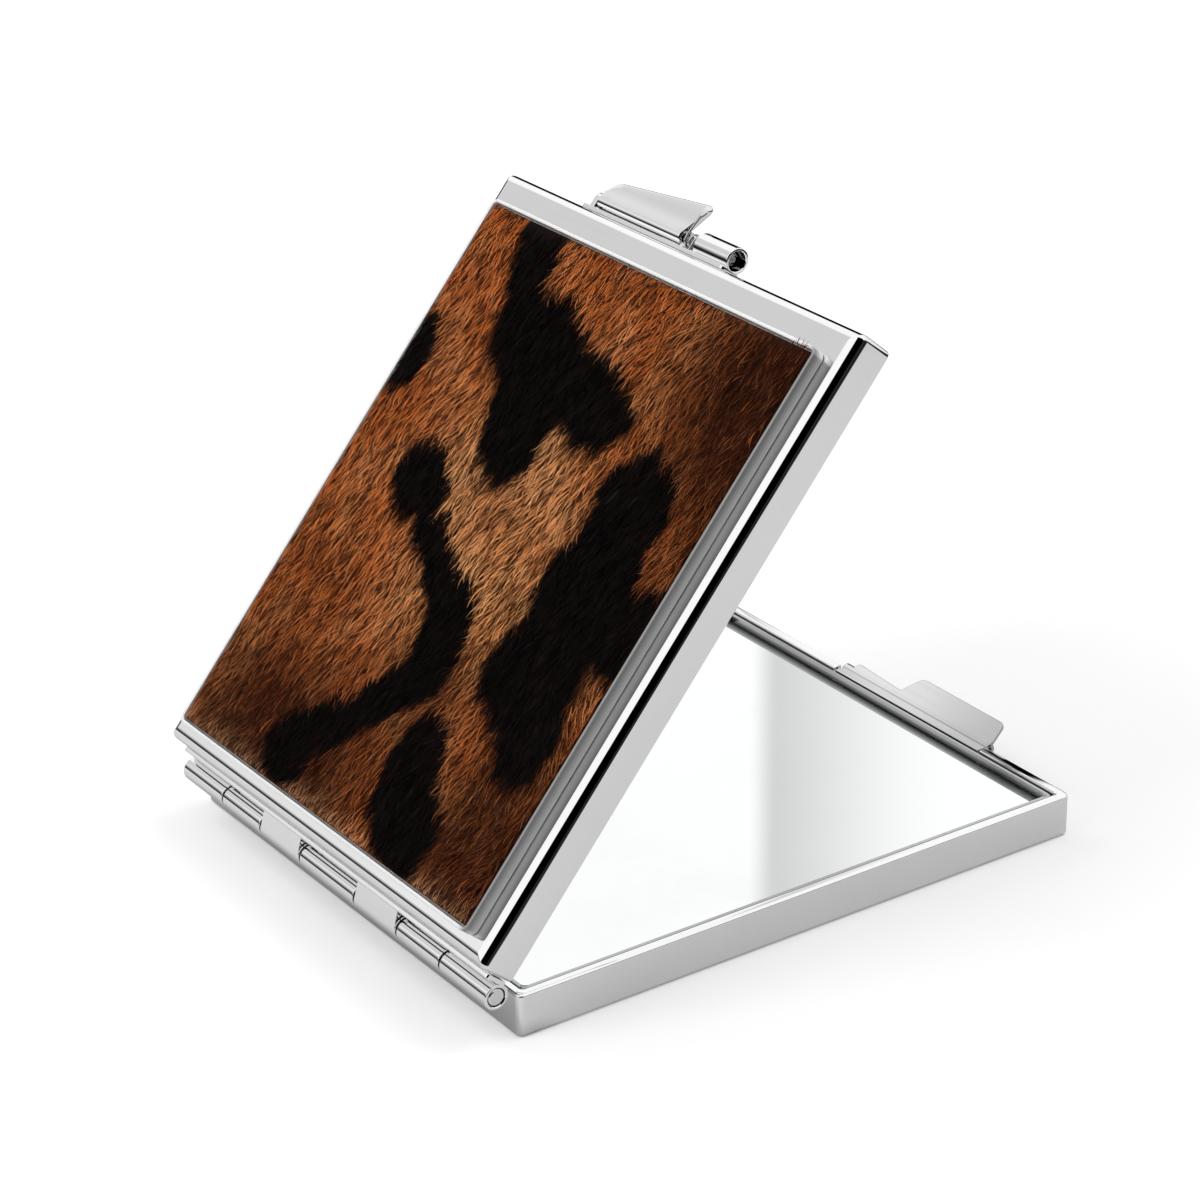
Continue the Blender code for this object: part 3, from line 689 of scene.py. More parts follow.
ROLL_Y, ROLL_Z = 36.5, 4.15
RAIL_LEFT, RAIL_RIGHT = -8.6, 16.9
BORE_DEPTH, ROLL_BORE = 3.0, 0.4
ROLL_FLAT, ROLL_ROUND = 0.68, 0.12
TAB_RISE, TAB_LIFT = 23, 0.5

form = bmesh.new()
profile = [(RAIL_RIGHT - BORE_DEPTH, 0.05), (RAIL_RIGHT - BORE_DEPTH, ROLL_BORE)]
profile += [(RAIL_RIGHT - 0.05, ROLL_BORE), (RAIL_RIGHT, ROLL_BORE + 0.05)]
profile += arc((RAIL_RIGHT - ROLL_ROUND, ROLL_FLAT), ROLL_ROUND, 0, 90, 4)
profile += arc((RAIL_LEFT + ROLL_ROUND, ROLL_FLAT), ROLL_ROUND, 90, 180, 4)
turned(form, [*profile, (RAIL_LEFT, 0.1)], ROLL_Y, ROLL_Z)

foot = softened([(34.8, -0.6, 0.1), (36.5, -0.6, 0), (36.5, 0.6, 0), (34.8, 0.6, 0.1)])
put = crosswise((RAIL_LEFT + RAIL_RIGHT) / 2, 0, 4.1)
plate(form, foot, thickness=RAIL_RIGHT - RAIL_LEFT - 0.3, edge=0.1, put=put)

tab = [(-7.2, 0, 0), (16.9, 0, 0), (16.9, 0.8, 0.5), (15.9, 3.6, 0.9)]
tab += [(1.8, 3.6, 0.9), (0.8, 0.8, 0.5), (-7.2, 1.2, 0.5)]
rise = math.radians(TAB_RISE)
tab_y, tab_z = ROLL_Y - TAB_LIFT * math.sin(rise), ROLL_Z + TAB_LIFT * math.cos(rise)
plate(form, softened(tab), thickness=0.6, edge=0.2, put=tilted(tab_y, tab_z, TAB_RISE))
settle("keeper_rail", form, "base", painted_dim_chrome)

# %% [markdown]
# The catch hangs on a strip on the lid's front wall. The strip carries an axle in an ear on the
# left and in a short tube on the right, whose open end shows the axle's dark end in the picture.

# %% The catch's strip and axle
LATCH_Y, LATCH_Z = 37.65, 7.5
TUBE_LEFT, TUBE_RIGHT = 1.0, 6.8

form = bmesh.new()
strip = softened([(-18.2, -1.3, 0.4), (6.8, -1.3, 0.4), (6.8, 1.4, 0.4), (-18.2, 1.4, 0.4)])
plate(form, strip, thickness=0.46, edge=0.08, put=standing(36.27, LATCH_Z))
ear = softened([(-1.3, -0.75, 0), (0.75, -0.75, 0.7), (0.75, 0.75, 0.7), (-1.3, 0.75, 0)])
plate(form, ear, thickness=0.7, edge=0.1, put=crosswise(-17.45, LATCH_Y, LATCH_Z))
tube(form, TUBE_LEFT, TUBE_RIGHT, outer=1.45, bore=1.1, y=LATCH_Y, z=LATCH_Z)
settle("latch_bracket", form, "lid", chrome)

SATIN = {"smooth": 0.18, "hazy": 0.34, "wave": 0.02, "hairline": 0.02}
dark_steel = metal("dark_satin_steel", grey(0.32, 0.01), grey(0.22, 0.01), **SATIN)

# the axle is thin, with a collar that fills the tube's bore
AXLE_RADIUS, COLLAR_RADIUS = 0.45, 0.9
profile = [(6.0, 0.1), (6.0, 0.37), (5.92, AXLE_RADIUS), (3.4, AXLE_RADIUS)]
profile += [(3.4, COLLAR_RADIUS), (3.3, 1.0), (1.4, 1.0), (1.3, COLLAR_RADIUS)]
profile += [(1.3, AXLE_RADIUS), (-17.72, AXLE_RADIUS), (-17.8, 0.37), (-17.8, 0.1)]
form = bmesh.new()
turned(form, profile, LATCH_Y, LATCH_Z)
settle("lever_axle", form, "lid", dark_steel, split=30)

# %% [markdown]
# The lever is stamped from one sheet: it is rolled round the axle and runs out into a wing for
# the thumb, with a wide round at its left corner and a small one at its right. A tube with a
# plate on it would show a seam in the chrome. So each cross-section goes round the axle, off its
# top at a tangent, out along the wing and back, and the lever is one surface. A hook under it
# holds the case shut.

# %% The catch lever
LEVER_LEFT, LEVER_RIGHT = -16.8, -2.2
WING_THICKNESS, WING_DROOP, WING_SLANT = 0.6, 14.4, 0.3
WING_SHORT, WING_GROWTH = 2.3, 2.0
KNUCKLE, LEVER_BORE = 0.95, 0.55
LEFT_ROUND, RIGHT_ROUND = 1.8, 0.9
LEVER_EDGE = 0.08


def lever_share(x):
    """How far along the lever a place is, from 0 at its left end to 1 at its right."""
    return (x - LEVER_LEFT) / (LEVER_RIGHT - LEVER_LEFT)


def wing_reach(x):
    """How far the wing goes out from the axle."""
    reach = WING_SHORT + WING_GROWTH * lever_share(x)
    for end, radius in ((LEVER_LEFT, LEFT_ROUND), (LEVER_RIGHT, RIGHT_ROUND)):
        near = abs(x - end)
        if near < radius:
            reach -= radius - math.sqrt(radius**2 - (radius - near) ** 2)
    return reach


def lever_ring(x, outline):
    """Puts an outline of reach and height across the lever, slanted as the wing's edge is."""
    slant = WING_SLANT * lever_share(x)
    droop = math.radians(WING_DROOP)
    ring = []
    for v, w in outline:
        y = v * math.cos(droop) + w * math.sin(droop)
        z = w * math.cos(droop) - v * math.sin(droop)
        ring.append((x + slant * max(v, 0), LATCH_Y + y, LATCH_Z + z))
    return ring


def lever_stations():
    """Places along the lever, close together where a corner is round."""
    turns = [math.cos(math.radians(9 * step)) for step in range(11)]
    stations = [LEVER_LEFT + LEFT_ROUND * (1 - turn) for turn in turns]
    stations += [-13.0, -11.0, -9.0, -7.0, -5.0]
    return stations + [LEVER_RIGHT - RIGHT_ROUND * (1 - turn) for turn in reversed(turns)]


def lever_rings():
    tip = WING_THICKNESS / 2
    under = KNUCKLE - WING_THICKNESS
    meets = math.degrees(math.asin(under / KNUCKLE))
    hug = arc((0, 0), KNUCKLE, 90, 360 + meets, 34)
    bore = arc((0, 0), LEVER_BORE, 90, 360 + meets, 34)
    bore += arc((0, 0), LEVER_BORE, 360 + meets, 450, 16)[1:-1]
    stations = lever_stations()
    sections = []
    for x in stations:
        out = max(wing_reach(x) - tip, hug[-1][0] + 0.05)
        round_tip = arc((out, KNUCKLE - tip), tip, -90, 90, 10)
        back = [(out * share, KNUCKLE) for share in (0.75, 0.5, 0.25)]
        sections.append([*hug, ((hug[-1][0] + out) / 2, under), *round_tip, *back])
    left, right = LEVER_LEFT - LEVER_EDGE, LEVER_RIGHT + LEVER_EDGE
    rings = [lever_ring(left, shrunk(sections[0], LEVER_EDGE))]
    rings += [lever_ring(x, section) for x, section in zip(stations, sections)]
    rings.append(lever_ring(right, shrunk(sections[-1], LEVER_EDGE)))
    return [*rings, lever_ring(right, bore), lever_ring(left, bore)]


# painted highlight: a brighter tint than the polished chrome, fading darker out along the wing,
# so a light band lies near the knuckle
lever_painted_highlight_chrome = metal(
    "lever_painted_highlight_chrome",
    grey(0.97, 0.005),
    grey(0.93, 0.005),
    **POLISHED,
    fade=lambda place: shade_over(place, Y, 38.4, 39.9, 1.0, 0.82),
)

form = bmesh.new()
stack(form, lever_rings(), ends=False)
hook = [(-0.05, 0), (-0.05, -4.45), (-1.15, -4.45), (-1.15, -4.7), (0.55, -5.6), (0.55, 0)]
plate(form, hook, thickness=2.2, edge=0.06, put=crosswise(-7.1, LATCH_Y, LATCH_Z))
settle("catch_lever", form, "catch", lever_painted_highlight_chrome)

# %% [markdown]
# A small torsion spring between the lever and the tube presses the wing up. It is drawn as the
# line of its wire, with two turns and two legs, and a round section is carried along that line. A
# Curve with a bevel would do it too. Rings of points keep the wire in the same mould as all the
# other pieces, so that it is shown and shaded as they are.

# %% The lever's spring
SPRING_TURNS, SPRING_PITCH = 2, 0.72
SPRING_RADIUS, WIRE_RADIUS = 0.75, 0.14
SPRING_START = -1.32
STEPS_IN_TURN = 22


def spring_line():
    """A leg over the wing, two turns round the axle and a leg to the strip."""
    points = [
        Vector((SPRING_START + 0.3, 2.7, SPRING_RADIUS)),
        Vector((SPRING_START, 0.5, SPRING_RADIUS)),
    ]
    for step in range(SPRING_TURNS * STEPS_IN_TURN + 1):
        angle = math.pi / 2 + 2 * math.pi * step / STEPS_IN_TURN
        x = SPRING_START + SPRING_PITCH * step / STEPS_IN_TURN
        y, z = SPRING_RADIUS * math.cos(angle), SPRING_RADIUS * math.sin(angle)
        points.append(Vector((x, y, z)))
    points.append(Vector((SPRING_START + SPRING_TURNS * SPRING_PITCH, -1.3, SPRING_RADIUS)))
    return [point + Vector((0, LATCH_Y, LATCH_Z)) for point in points]


def wire(form, line, radius, sides=10):
    """A round wire along a line."""
    turns = [2 * math.pi * side / sides for side in range(sides)]
    rings = []
    for index, point in enumerate(line):
        before = line[max(index - 1, 0)]
        after = line[min(index + 1, len(line) - 1)]
        ahead = (after - before).normalized()
        across = ahead.cross(Vector((1, 0, 0))).normalized()
        other = ahead.cross(across)
        rays = [across * math.cos(turn) + other * math.sin(turn) for turn in turns]
        rings.append([point + radius * ray for ray in rays])
    stack(form, rings)


DRAWN = {"smooth": 0.18, "hazy": 0.32, "wave": 0.01, "hairline": 0.02}
spring_steel = metal("spring_steel", grey(0.55, -0.01), grey(0.42, -0.01), **DRAWN)

form = bmesh.new()
wire(form, spring_line(), WIRE_RADIUS)
settle("lever_spring", form, "lid", spring_steel)

# %% [markdown]
# On the lid's face sits a shallow tray for the hide, with a board in it that the hide is glued
# to. The tray's thin walls mirror both the hide and the chrome round it. Polished chrome would
# mirror each hair as a spark, so the walls get a satin chrome. On the right wall its tint
# darkens toward the hide, which is a painted reflection of the dark hide.

# %% The hide's tray and board
HIDE_MIDDLE = -0.7
TRAY_FOOT = 10.2
BED_HALF_X, BED_HALF_Y, BED_CORNER = 27.8, 32.6, 0.3
BOARD_HEIGHTS = (10.55, 10.98)


def wall_shade(place):
    """A painted reflection of the hide: the tray's right wall darkens toward it."""
    right = shade_over(place, X, 27.0, 28.2, 0.0, 1.0)
    return 1.0 - right * shade_over(place, Z, 10.35, 11.7, 0.0, 0.66)


def pressed_board():
    """Grey-brown card with short fibres in it."""
    material, place = new_finish("pressed_board")
    graph = place.graph
    fibres = speckle(place, scale=1500, detail=3.0, stretch=(0.2, 1, 1))
    relief = {"Strength": 0.4, "Distance": 0.0001, "Height": fibres}
    sockets = {
        "Base Color": graph.mix(fibres, (0.17, 0.125, 0.09, 1), (0.33, 0.26, 0.19, 1)),
        "Roughness": 0.75 + fibres * 0.2,
        "Normal": graph.node("ShaderNodeBump", {}, relief),
    }
    close_finish(graph, sockets)
    return material


SATIN_CHROME = {"smooth": 0.34, "hazy": 0.44, "wave": 0.004, "hairline": 0.004, "bare": 0.45}
tray_chrome = metal("tray_chrome", grey(0.98), grey(0.90), **SATIN_CHROME, fade=wall_shade)

form = bmesh.new()
shape = {"corner": 0.9, "inner_corner": 0.5, "fillet": 0.12, "rim": 0.12}
rings = tray_rings(28.4, 33.2, height=1.5, wall=0.4, floor=0.3, middle_y=HIDE_MIDDLE, **shape)
stack(form, [[(x, y, z + TRAY_FOOT) for x, y, z in ring] for ring in rings])
settle("hide_tray", form, "lid", tray_chrome)

form = bmesh.new()
rings = [rounded(BED_HALF_X, BED_HALF_Y, BED_CORNER, z, HIDE_MIDDLE) for z in BOARD_HEIGHTS]
stack(form, rings)
settle("hide_board", form, "lid", pressed_board())

# %% [markdown]
# The panel is calf hide with its hair on, brown with dark spots. A painted picture would give
# flat spots with cut edges. Here skin and hair share one pattern: the distance to the nearest of
# a few ovals, bent by noise. Each hair takes the colour of the place where it grows, so that the
# spots get their hairy edges by themselves.

# %% The hide's spots and shades
SPOTS = (
    # middle x and y, half lengths, turn, in millimetres and degrees
    (-16.5, 29.0, 3.2, 5.5, 20),
    (-8.0, 20.5, 8.2, 5.6, -22),
    (3.0, 18.6, 7.0, 4.0, -12),
    (-5.0, 13.5, 4.6, 7.0, 22),
    (-26.8, 14.5, 3.0, 4.2, 0),
    (-13.6, 2.8, 4.7, 3.7, -25),
    (-7.5, -1.6, 4.6, 2.2, -30),
    (-1.5, -5.6, 4.8, 2.8, -28),
    (3.0, -11.0, 3.4, 6.4, 8),
    (0.2, -18.2, 4.8, 2.8, 52),
    (-5.6, -24.0, 5.6, 2.5, 35),
    (-9.2, -28.5, 3.8, 3.6, 0),
    (17.5, 9.5, 4.9, 7.0, 8),
    (18.0, 0.5, 6.0, 7.5, 0),
    (26.2, -0.2, 4.0, 4.8, 0),
    (17.6, -8.5, 6.2, 6.2, 25),
    (21.5, -13.5, 3.6, 5.4, 12),
    (9.4, -23.5, 3.8, 6.2, 5),
    (12.6, -28.0, 5.6, 4.4, -35),
)
SHADES = (
    # middle x and y, half lengths, and how dark the coat gets there
    (27.0, 26.0, 20.0, 20.0, 0.97),
    (-12.0, -29.0, 26.0, 14.0, 0.93),
    (-24.0, -16.0, 16.0, 14.0, 0.28),
    (24.0, -26.0, 14.0, 19.0, 0.88),
    (30.0, 4.0, 9.0, 26.0, 0.42),
    (4.0, -16.0, 13.0, 9.0, 0.55),
    (24.0, 12.0, 9.0, 12.0, 0.25),
)
FAIR_MIDDLE = (0.0, 3.0, 16.0, 24.0, 12.0)
SPOT_BEND = (3.2, 3.2, 0.0)
SPOT_BLEND = 0.22
print("the coat has", len(SPOTS), "ovals for its spots and", len(SHADES), "darker regions")


def reach(place, x, y, half_x, half_y, turn=0.0):
    """How far a place is from the middle of an oval, 1 on its edge."""
    sockets = {
        "Vector": place,
        "Location": (x, y, 0),
        "Rotation": (0, 0, math.radians(turn)),
        "Scale": (half_x, half_y, 1),
    }
    inside = place.graph.node("ShaderNodeMapping", {"vector_type": "TEXTURE"}, sockets)
    return inside.vector("LENGTH", out=1)


def spottiness(place):
    """How far a place is from the nearest spot, 1 on its edge."""
    sockets = {"Vector": place, "Scale": 0.30, "Detail": 2.0}
    wave = place.graph.node("ShaderNodeTexNoise", {}, sockets, out=1)
    shift = wave.vector("SUBTRACT", (0.5, 0.5, 0.5)).vector("MULTIPLY", SPOT_BEND)
    bent = place.vector("ADD", shift)
    nearest = reach(bent, *SPOTS[0])
    for spot in SPOTS[1:]:
        nearest = nearest.math("SMOOTH_MIN", nearest, reach(bent, *spot), SPOT_BLEND)
    return nearest


# %% [markdown]
# Real hair isn't one colour. Some hairs are dark from root to tip, fair ones get a painted
# highlight at the tip, and the coat is deeper at its rims. One random number for each hair
# and one that grows along it are enough to mix all of these.

# %% The colour of the coat
RUST, SAND = (0.74, 0.195, 0.042, 1), (1.0, 0.47, 0.18, 1)
UMBER, SOOT = (0.085, 0.016, 0.004, 1), (0.008, 0.003, 0.001, 1)
DARK_HAIR = (0.040, 0.009, 0.003, 1)
LIT_TIP, LOW_TIP = (1.0, 0.55, 0.27, 1), (1.0, 0.56, 0.30, 1)
BLACK_HAIR, GREY_HAIR = (0.0030, 0.0016, 0.0016, 1), (0.05, 0.042, 0.045, 1)


def open_coat(place):
    """How light the coat lies, 1 where no shade reaches."""
    clear = 1.0
    for *oval, depth in SHADES:
        clear = clear * (1.0 - depth * between(reach(place, *oval), 0.25, 1.1, 1.0, 0.0))
    return clear


def coat(spread, chance, along):
    """The coat's colour. chance differs from hair to hair, and along runs from root to tip."""
    place = spread.vector("MULTIPLY", (1, 1, 0))
    mix = place.graph.mix
    spot = between(spottiness(place) + 0.14 * chance, 1.14, 1.28, 1.0, 0.0)
    sockets = {"Vector": place, "Scale": 0.11, "Detail": 2.0}
    patchy = place.graph.node("ShaderNodeTexNoise", {}, sockets)
    fair = between(reach(place, *FAIR_MIDDLE), 0.3, 1.3, 0.75, 0.05)
    fair = fair + between(patchy, 0.4, 0.65, -0.15, 0.3)
    clear = open_coat(place)
    streak = between(speckle(place, 2.6, 2.0, (1, 0.28, 1)), 0.5, 0.72, -0.05, 0.32)
    # in the shaded regions only single streaks stay light
    brown = mix(clear + (1.0 - clear) * streak, mix(chance, UMBER, SOOT), mix(fair, RUST, SAND))
    # a high chance makes a hair dark from root to tip, and a low one gives it a painted highlight
    # at its tip
    brown = mix(between(chance, 0.36, 0.74, 0.0, 0.98), brown, DARK_HAIR)
    lit = between(along, 0.40, 1.0, 0.0, 0.7) * between(chance, 0.05, 0.45, 1.0, 0.05)
    brown = mix(lit * (0.26 + 0.74 * clear), brown, LIT_TIP)
    # a painted highlight makes the tips over the tray's lower wall paler
    low = between(part_of(place, Y), -32.4, -29.0, 0.6, 0.0)
    brown = mix(low * along * between(chance, 0.3, 0.7, 1.0, 0.15), brown, LOW_TIP)
    # a few grey hairs stand in the spots
    black = mix(between(chance, 0.0, 0.06, 1.0, 0.0), BLACK_HAIR, GREY_HAIR)
    return mix(spot, brown, black)


def hair_coat():
    """Reads each hair's root and growth from the two maps that the hair carries."""
    material, place = new_finish("hide_hair")
    graph = place.graph
    root = graph.node("ShaderNodeUVMap", {"uv_map": "root"})
    growth = graph.node("ShaderNodeUVMap", {"uv_map": "growth"})
    along, chance = part_of(growth, X), part_of(growth, Y)
    sockets = {
        "Base Color": coat(root, chance, along),
        "Roughness": 0.38 + chance * 0.2,
        "Specular IOR Level": 0.05,
    }
    close_finish(graph, sockets)
    return material


def skin_coat():
    """The same pattern, darker, in the millimetres that the coat is drawn in."""
    material, place = new_finish("hide_skin")
    graph = place.graph
    scaled = place.vector("MULTIPLY", (1000.0, 1000.0, 1000.0))
    grain = speckle(scaled, 5.0, 2.0, (1, 0.2, 1))
    relief = {"Strength": 0.6, "Distance": 0.0002, "Height": grain}
    pattern = coat(scaled, between(grain, 0.3, 0.7, 0.3, 1.0), 0.0 * grain)
    sockets = {
        "Base Color": graph.mix(0.55, pattern, (0.012, 0.005, 0.003, 1)),
        "Roughness": 0.7 + 0.2 * grain,
        "Normal": graph.node("ShaderNodeBump", {}, relief),
        "Specular IOR Level": 0.1,
    }
    close_finish(graph, sockets)
    return material


# %% [markdown]
# Under the hair the hide is a thin skin, cut to the inside of the tray and laid on the board. A
# plate with a soft upper edge is enough, because it only shows dark between the hairs.

# %% The skin
SKIN_TOP = 11.6
# insets and depths under the skin's top
SKIN_LEVELS = ((0, 0.5), (0, 0.2), (0.1, 0.08), (0.4, 0.0))

form = bmesh.new()
rings = []
for inset, depth in SKIN_LEVELS:
    half_x, half_y = BED_HALF_X - inset, BED_HALF_Y - inset
    rings.append(rounded(half_x, half_y, BED_CORNER, SKIN_TOP - depth, HIDE_MIDDLE))
stack(form, rings)
skin = settle("hide_panel", form, "lid", skin_coat())

# %% [markdown]
# Calf hair is short, lies down the lid and gathers in small locks, and at one corner a few hairs
# stand over the rim. Blender's hair system would do it, but its strands don't leave Blender as a
# mesh. So each of thirty-six thousand hairs is a narrow blade of two quads and a triangle, in one
# mesh. Slow noise turns and lifts them together, and a seeded dice makes each a little different,
# in the same way at every run.

# %% One hair
EDGE_X, EDGE_LOW, EDGE_HIGH = 27.75, -33.25, 31.85
LOCK_WIDTH, LOCK_PULL = 0.55, 0.55
# where a blade's middle line has its points, and how wide the blade is there
SHARES = (0.0, 0.36, 0.7, 1.0)
WIDTHS = (0.75, 1.0, 0.8, 0.0)


def smooth_chance(x, y, scale, seed):
    """A slowly changing value from -1 to 1."""
    return noise.noise(Vector((x * scale, y * scale, seed)))


def one_hair(dice, x, y, length, lift):
    """The middle line of a hair that lies down the lid and leans to its lock."""
    # the coat leans to one side, more in some regions, and a little differently from lock to lock
    lean = 8 + 26 * smooth_chance(x, y, 0.09, 3.0) + 22 * smooth_chance(x, y, 0.5, 7.0)
    lean = math.radians(lean)
    # beside the right-hand spots the coat swirls to the side
    swirl = max(0.0, min(1.0, (x - 19) / 7)) * max(0.0, 1 - abs(y + 11) / 9)
    lean += math.radians(dice.gauss(0, 6) - 60 * swirl)
    curl = math.radians(dice.gauss(0, 16))
    lock = math.floor(x / LOCK_WIDTH + 0.6 * smooth_chance(x, y, 0.8, 11.0))
    lock_x = (lock + 0.5) * LOCK_WIDTH
    points = []
    for share in SHARES:
        angle = lean + curl * share
        px = x - math.sin(angle) * length * share + LOCK_PULL * (lock_x - x) * share**1.5
        py = y - math.cos(angle) * length * share
        pz = SKIN_TOP - 0.05 + lift * math.sin(math.pi * min(share * 0.72 + 0.08, 1.0))
        points.append(Vector((px, py, pz)))
    return points


def lying_hair(dice):
    """The root and the middle line of a hair, kept inside the tray."""
    x = dice.uniform(-EDGE_X, EDGE_X)
    y = dice.uniform(EDGE_LOW + 0.3, EDGE_HIGH)
    length = min(dice.uniform(1.5, 3.1), max(0.45, 1.05 * (y - EDGE_LOW)))
    lift = dice.uniform(0.12, 0.5) * (0.75 + 0.5 * smooth_chance(x, y, 0.4, 19.0))
    lift *= min(1.0, 0.25 + (x + EDGE_X) / 4)
    points = one_hair(dice, x, y, length, lift)
    for point in points:
        point.x = max(-EDGE_X, min(EDGE_X, point.x))
        point.y = max(EDGE_LOW, point.y)
    return x, y, points


def stray_hair(dice):
    """A hair at the top right corner that grows the wrong way, up over the tray's rim."""
    x = EDGE_X - 0.3 - abs(dice.gauss(0, 1.5))
    y = EDGE_HIGH - dice.uniform(0.0, 0.9)
    angle = math.radians(dice.uniform(-60, 75))
    length = dice.uniform(1.0, 1.9)
    points = []
    for share in SHARES:
        turn = angle + share * math.radians(dice.uniform(-25, 25))
        out = Vector((math.sin(turn), math.cos(turn), 0.0)) * (length * share)
        height = SKIN_TOP + 0.42 * math.sin(math.pi * (0.1 + 0.75 * share))
        points.append(Vector((x, y, height)) + out)
    return x, y, points


# %% [markdown]
# The blades are gathered as plain lists, because lists are much quicker than one object for each
# hair. Every corner also keeps its hair's root, its place along the hair and the hair's own
# chance. Those go into two UV maps, where the finish reads them.

# %% The coat of hair
HAIRS, STRAY_HAIRS = 36000, 10
HAIR_WIDTH = 0.088
HAIR_SEED = 41
TONE_STRIP = 0.3
# how far along its hair each of a blade's faces starts and ends
FACE_GROWTH = ((0.0, 0.36), (0.36, 0.72), (0.7, 1.0))


def hair_chance(dice, x, y):
    """A hair's own chance, from 0 to 1. Hairs that grow close together are a little alike."""
    strip = math.floor(x / TONE_STRIP) * TONE_STRIP
    chance = dice.random() * 0.75 + 0.25 * (0.5 + 0.8 * smooth_chance(strip, y, 1.4, 23.0))
    return max(0.0, min(1.0, chance))


def grow(name, count, strays, seed):
    """All the hairs as one mesh: lying ones first, then the strays."""
    dice = random.Random(seed)
    verts, faces, roots, growths = [], [], [], []
    for index in range(count + strays):
        x, y, points = lying_hair(dice) if index < count else stray_hair(dice)
        roll = dice.gauss(0, 0.6)
        side = Vector((math.cos(roll), 0.0, math.sin(roll)))
        chance = hair_chance(dice, x, y)
        first = len(verts)
        for width, point in zip(WIDTHS[:-1], points):
            half = side * (HAIR_WIDTH / 2) * width
            verts += [point - half, point + half]
        verts.append(points[-1])
        for low, (start, end) in zip((0, 2), FACE_GROWTH):
            faces.append((first + low, first + low + 1, first + low + 3, first + low + 2))
            growths += [(start, chance)] * 2 + [(end, chance)] * 2
        start, end = FACE_GROWTH[-1]
        faces.append((first + 4, first + 5, first + 6))
        growths += [(start, chance)] * 2 + [(end, chance)]
        roots += [(x, y)] * 11
    mesh = bpy.data.meshes.new(name)
    mesh.from_pydata([vert * MM for vert in verts], [], faces)
    for layer_name, values in (("root", roots), ("growth", growths)):
        layer = mesh.uv_layers.new(name=layer_name)
        layer.data.foreach_set("uv", [part for value in values for part in value])
    mesh.shade_smooth()
    return mesh


hair_mesh = grow("hide_hair", HAIRS, STRAY_HAIRS, HAIR_SEED)
hair_mesh.materials.append(hair_coat())
hair = show("hide_hair", hair_mesh, "lid", "hide_panel")

# %% [markdown]
# The mirror stands on a white sheet. The eye sees it as white paper, but the chrome mirrors more
# of it than the eye sees, and in the picture that mirrored sheet is a little grey and ends in the
# dark room not far from the case. So the sheet has two tones: one for the camera, and one for all
# other rays, which turns dark where the sheet ends.

# %% Floor
FLOOR_HALF = 3
FLOOR_LIFT = 0.20
SHEET_END, SHEET_BLUR = 0.19, 0.05
SEEN_TONE, MIRRORED_TONE = grey(0.92), (0.71, 0.705, 0.70, 1)
ROOM_TONE = grey(0.02)


def either(first, second):
    """1 where one of two shares is 1, and a soft mix of both at their edges."""
    return first + second - first * second


def floor_finish():
    material, place = new_finish("floor")
    graph = place.graph
    x, y = part_of(place, X), part_of(place, Y)
    dark_room_and_painted_shade = between(place.vector("LENGTH", out=1), SHEET_END, SHEET_END + SHEET_BLUR)
    # to the right of the hinge the sheet ends sooner
    dark_room_and_painted_shade = either(dark_room_and_painted_shade, between(x * 0.5 - y, 0.050, 0.062) * between(x, 0.055, 0.07))
    # painted shade under the barrel, dark for mirrored rays only, which the rear wall and the
    # barrel's lower side mirror
    under = between(y, -0.045, -0.038) * between(y, -0.034, -0.030, 1.0, 0.0)
    dark_room_and_painted_shade = either(dark_room_and_painted_shade, under * between(x, 0.031, 0.034, 0.33, 0.0))
    seen = graph.node("ShaderNodeLightPath", out="Is Camera Ray")
    tone = graph.mix(seen, graph.mix(dark_room_and_painted_shade, MIRRORED_TONE, ROOM_TONE), SEEN_TONE)
    matte = graph.node("ShaderNodeBsdfDiffuse", {}, {"Color": tone})
    glow = {"Color": WHITE, "Strength": FLOOR_LIFT * seen}
    glow = graph.node("ShaderNodeEmission", {}, glow)
    both = graph.node("ShaderNodeAddShader", {}, {0: matte, 1: glow})
    graph.node("ShaderNodeOutputMaterial", {}, {"Surface": both})
    return material


floor_mesh = bpy.data.meshes.new("floor")
corners = [(-1, -1), (1, -1), (1, 1), (-1, 1)]
places = [(FLOOR_HALF * x, FLOOR_HALF * y, 0) for x, y in corners]
floor_mesh.from_pydata(places, [], [(0, 1, 2, 3)])
floor_mesh.materials.append(floor_finish())
floor = bpy.data.objects.new("floor", floor_mesh)
bpy.context.scene.collection.objects.link(floor)

# %% [markdown]
# Three soft lamps light the matt things: the hide, the board and the floor. Chrome would mirror
# them as white squares that the picture doesn't show, so glossy rays don't see them. What the
# chrome mirrors is all in the sky of the next step.


# %% Lamps
def lamp(name, side, place, aim, power):
    data = bpy.data.lights.new(name, "AREA")
    data.shape = "RECTANGLE"
    data.size = data.size_y = side
    data.energy = power
    piece = bpy.data.objects.new(name, data)
    piece.location = place
    piece.rotation_euler = (Vector(aim) - Vector(place)).to_track_quat("-Z", "Y").to_euler()
    piece.visible_glossy = False
    bpy.context.scene.collection.objects.link(piece)
    print("lamp", name, "of", power, "W")


lamp("key", 0.5, (0.1, 0.35, 0.75), (0, 0, 0.02), 1.5)
lamp("rake", 0.3, (-0.5, -0.25, 0.55), (0, 0, 0.03), 0.9)
lamp("front", 0.35, (-0.08, -0.6, 0.52), (0, 0, 0.03), 1.8)

# %% [markdown]
# Polished chrome has no look of its own. It shows the studio, so the studio is what gives it its
# white faces and thin black lines. Walls and screens could be built as objects, but a sky that
# knows its directions does the same with less to render. It has white walls over a dark band at
# the floor, a dark side round the camera, and a few patches for what single faces mirror.

# %% Studio walls
# how bright the room is for all that is matt
ROOM_LIGHT = 0.52

world = bpy.data.worlds.new("studio")
bpy.context.scene.world = world
world.use_nodes = True
sky = Graph(world.node_tree)
toward = sky.node("ShaderNodeTexCoord", out="Generated")
height = part_of(toward, Z)


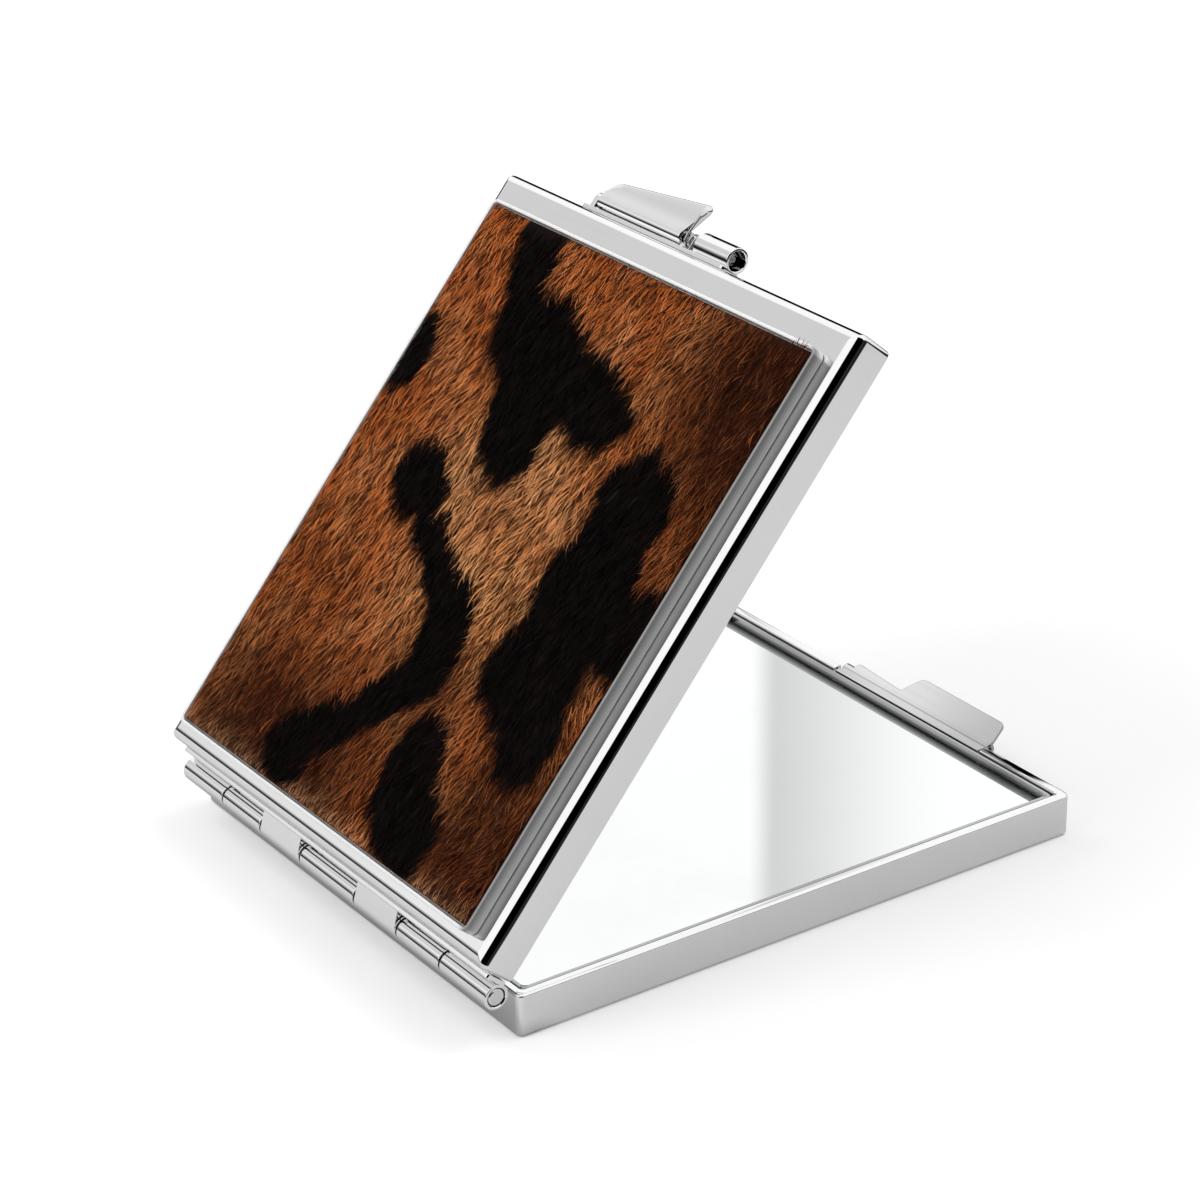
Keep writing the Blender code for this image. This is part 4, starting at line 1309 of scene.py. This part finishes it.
def patch(azimuth, elevation, radius, blur):
    """1 inside a round patch of the studio. 0 degrees is the hinge's side, 90 is the right."""
    a, e = math.radians(azimuth), math.radians(elevation)
    aim = (math.sin(a) * math.cos(e), -math.cos(a) * math.cos(e), math.sin(e))
    inner, outer = math.cos(math.radians(radius)), math.cos(math.radians(radius + blur))
    return between(toward.vector("DOT_PRODUCT", aim, out=1), outer, inner)


# the white walls end above a dark band, which draws the thin black lines along the rounded edges
level = between(height, 0.18, 0.26, 0.03, 1.05)
# behind the hinge the band is wide and soft, as the barrel shows
hinge_side = patch(-52, 12, 26, 12)
level = level * (1.0 - hinge_side) + hinge_side * between(height, 0.04, 0.46, 0.02, 1.04)
# a dark gap low in the wall at the back left
level = level * (1.0 - patch(-130, 6, 15, 4))
# the lid's corner edge looks past the base, where the wall is white to the ground
far_wall = patch(165, 6, 32, 8)
level = level * (1.0 - far_wall) + 0.9 * far_wall
# the dark room round the camera, seen in the edges that face it
level = level * (1.0 - patch(62, 14, 30, 4))
# a greyer part high in the wall, which the wing and a part of the lid's border mirror
level = level * (1.0 - 0.34 * patch(-66, 35, 8, 10))

# %% [markdown]
# The base's mirror shows one sharp edge and one soft one, as of a hanging screen behind the open
# lid. Only the glass looks that way, so the screen is drawn by its bearing and its height alone.

# %% The screen in the glass, and the sky
SCREEN_DEPTH = 0.43

across, away = part_of(toward, X), part_of(toward, Y)
bearing = across.math("ARCTAN2", across, 0.0 - away) * math.degrees(1)
screen = between(bearing, -127.95, -127.4, 1.0, 0.0) * between(bearing, -131.2, -126.8)
screen = screen * between(height, 0.36, 0.42) * between(height, 0.56, 0.62, 1.0, 0.0)
level = level * (1.0 - SCREEN_DEPTH * screen)
diffuse = sky.node("ShaderNodeLightPath", out="Is Diffuse Ray")
strength = level * (1.0 - diffuse) + ROOM_LIGHT * diffuse
background = sky.node("ShaderNodeBackground", {}, {"Color": WHITE, "Strength": strength})
sky.node("ShaderNodeOutputWorld", {}, {"Surface": background})
print("the sky has", len(world.node_tree.nodes), "nodes")
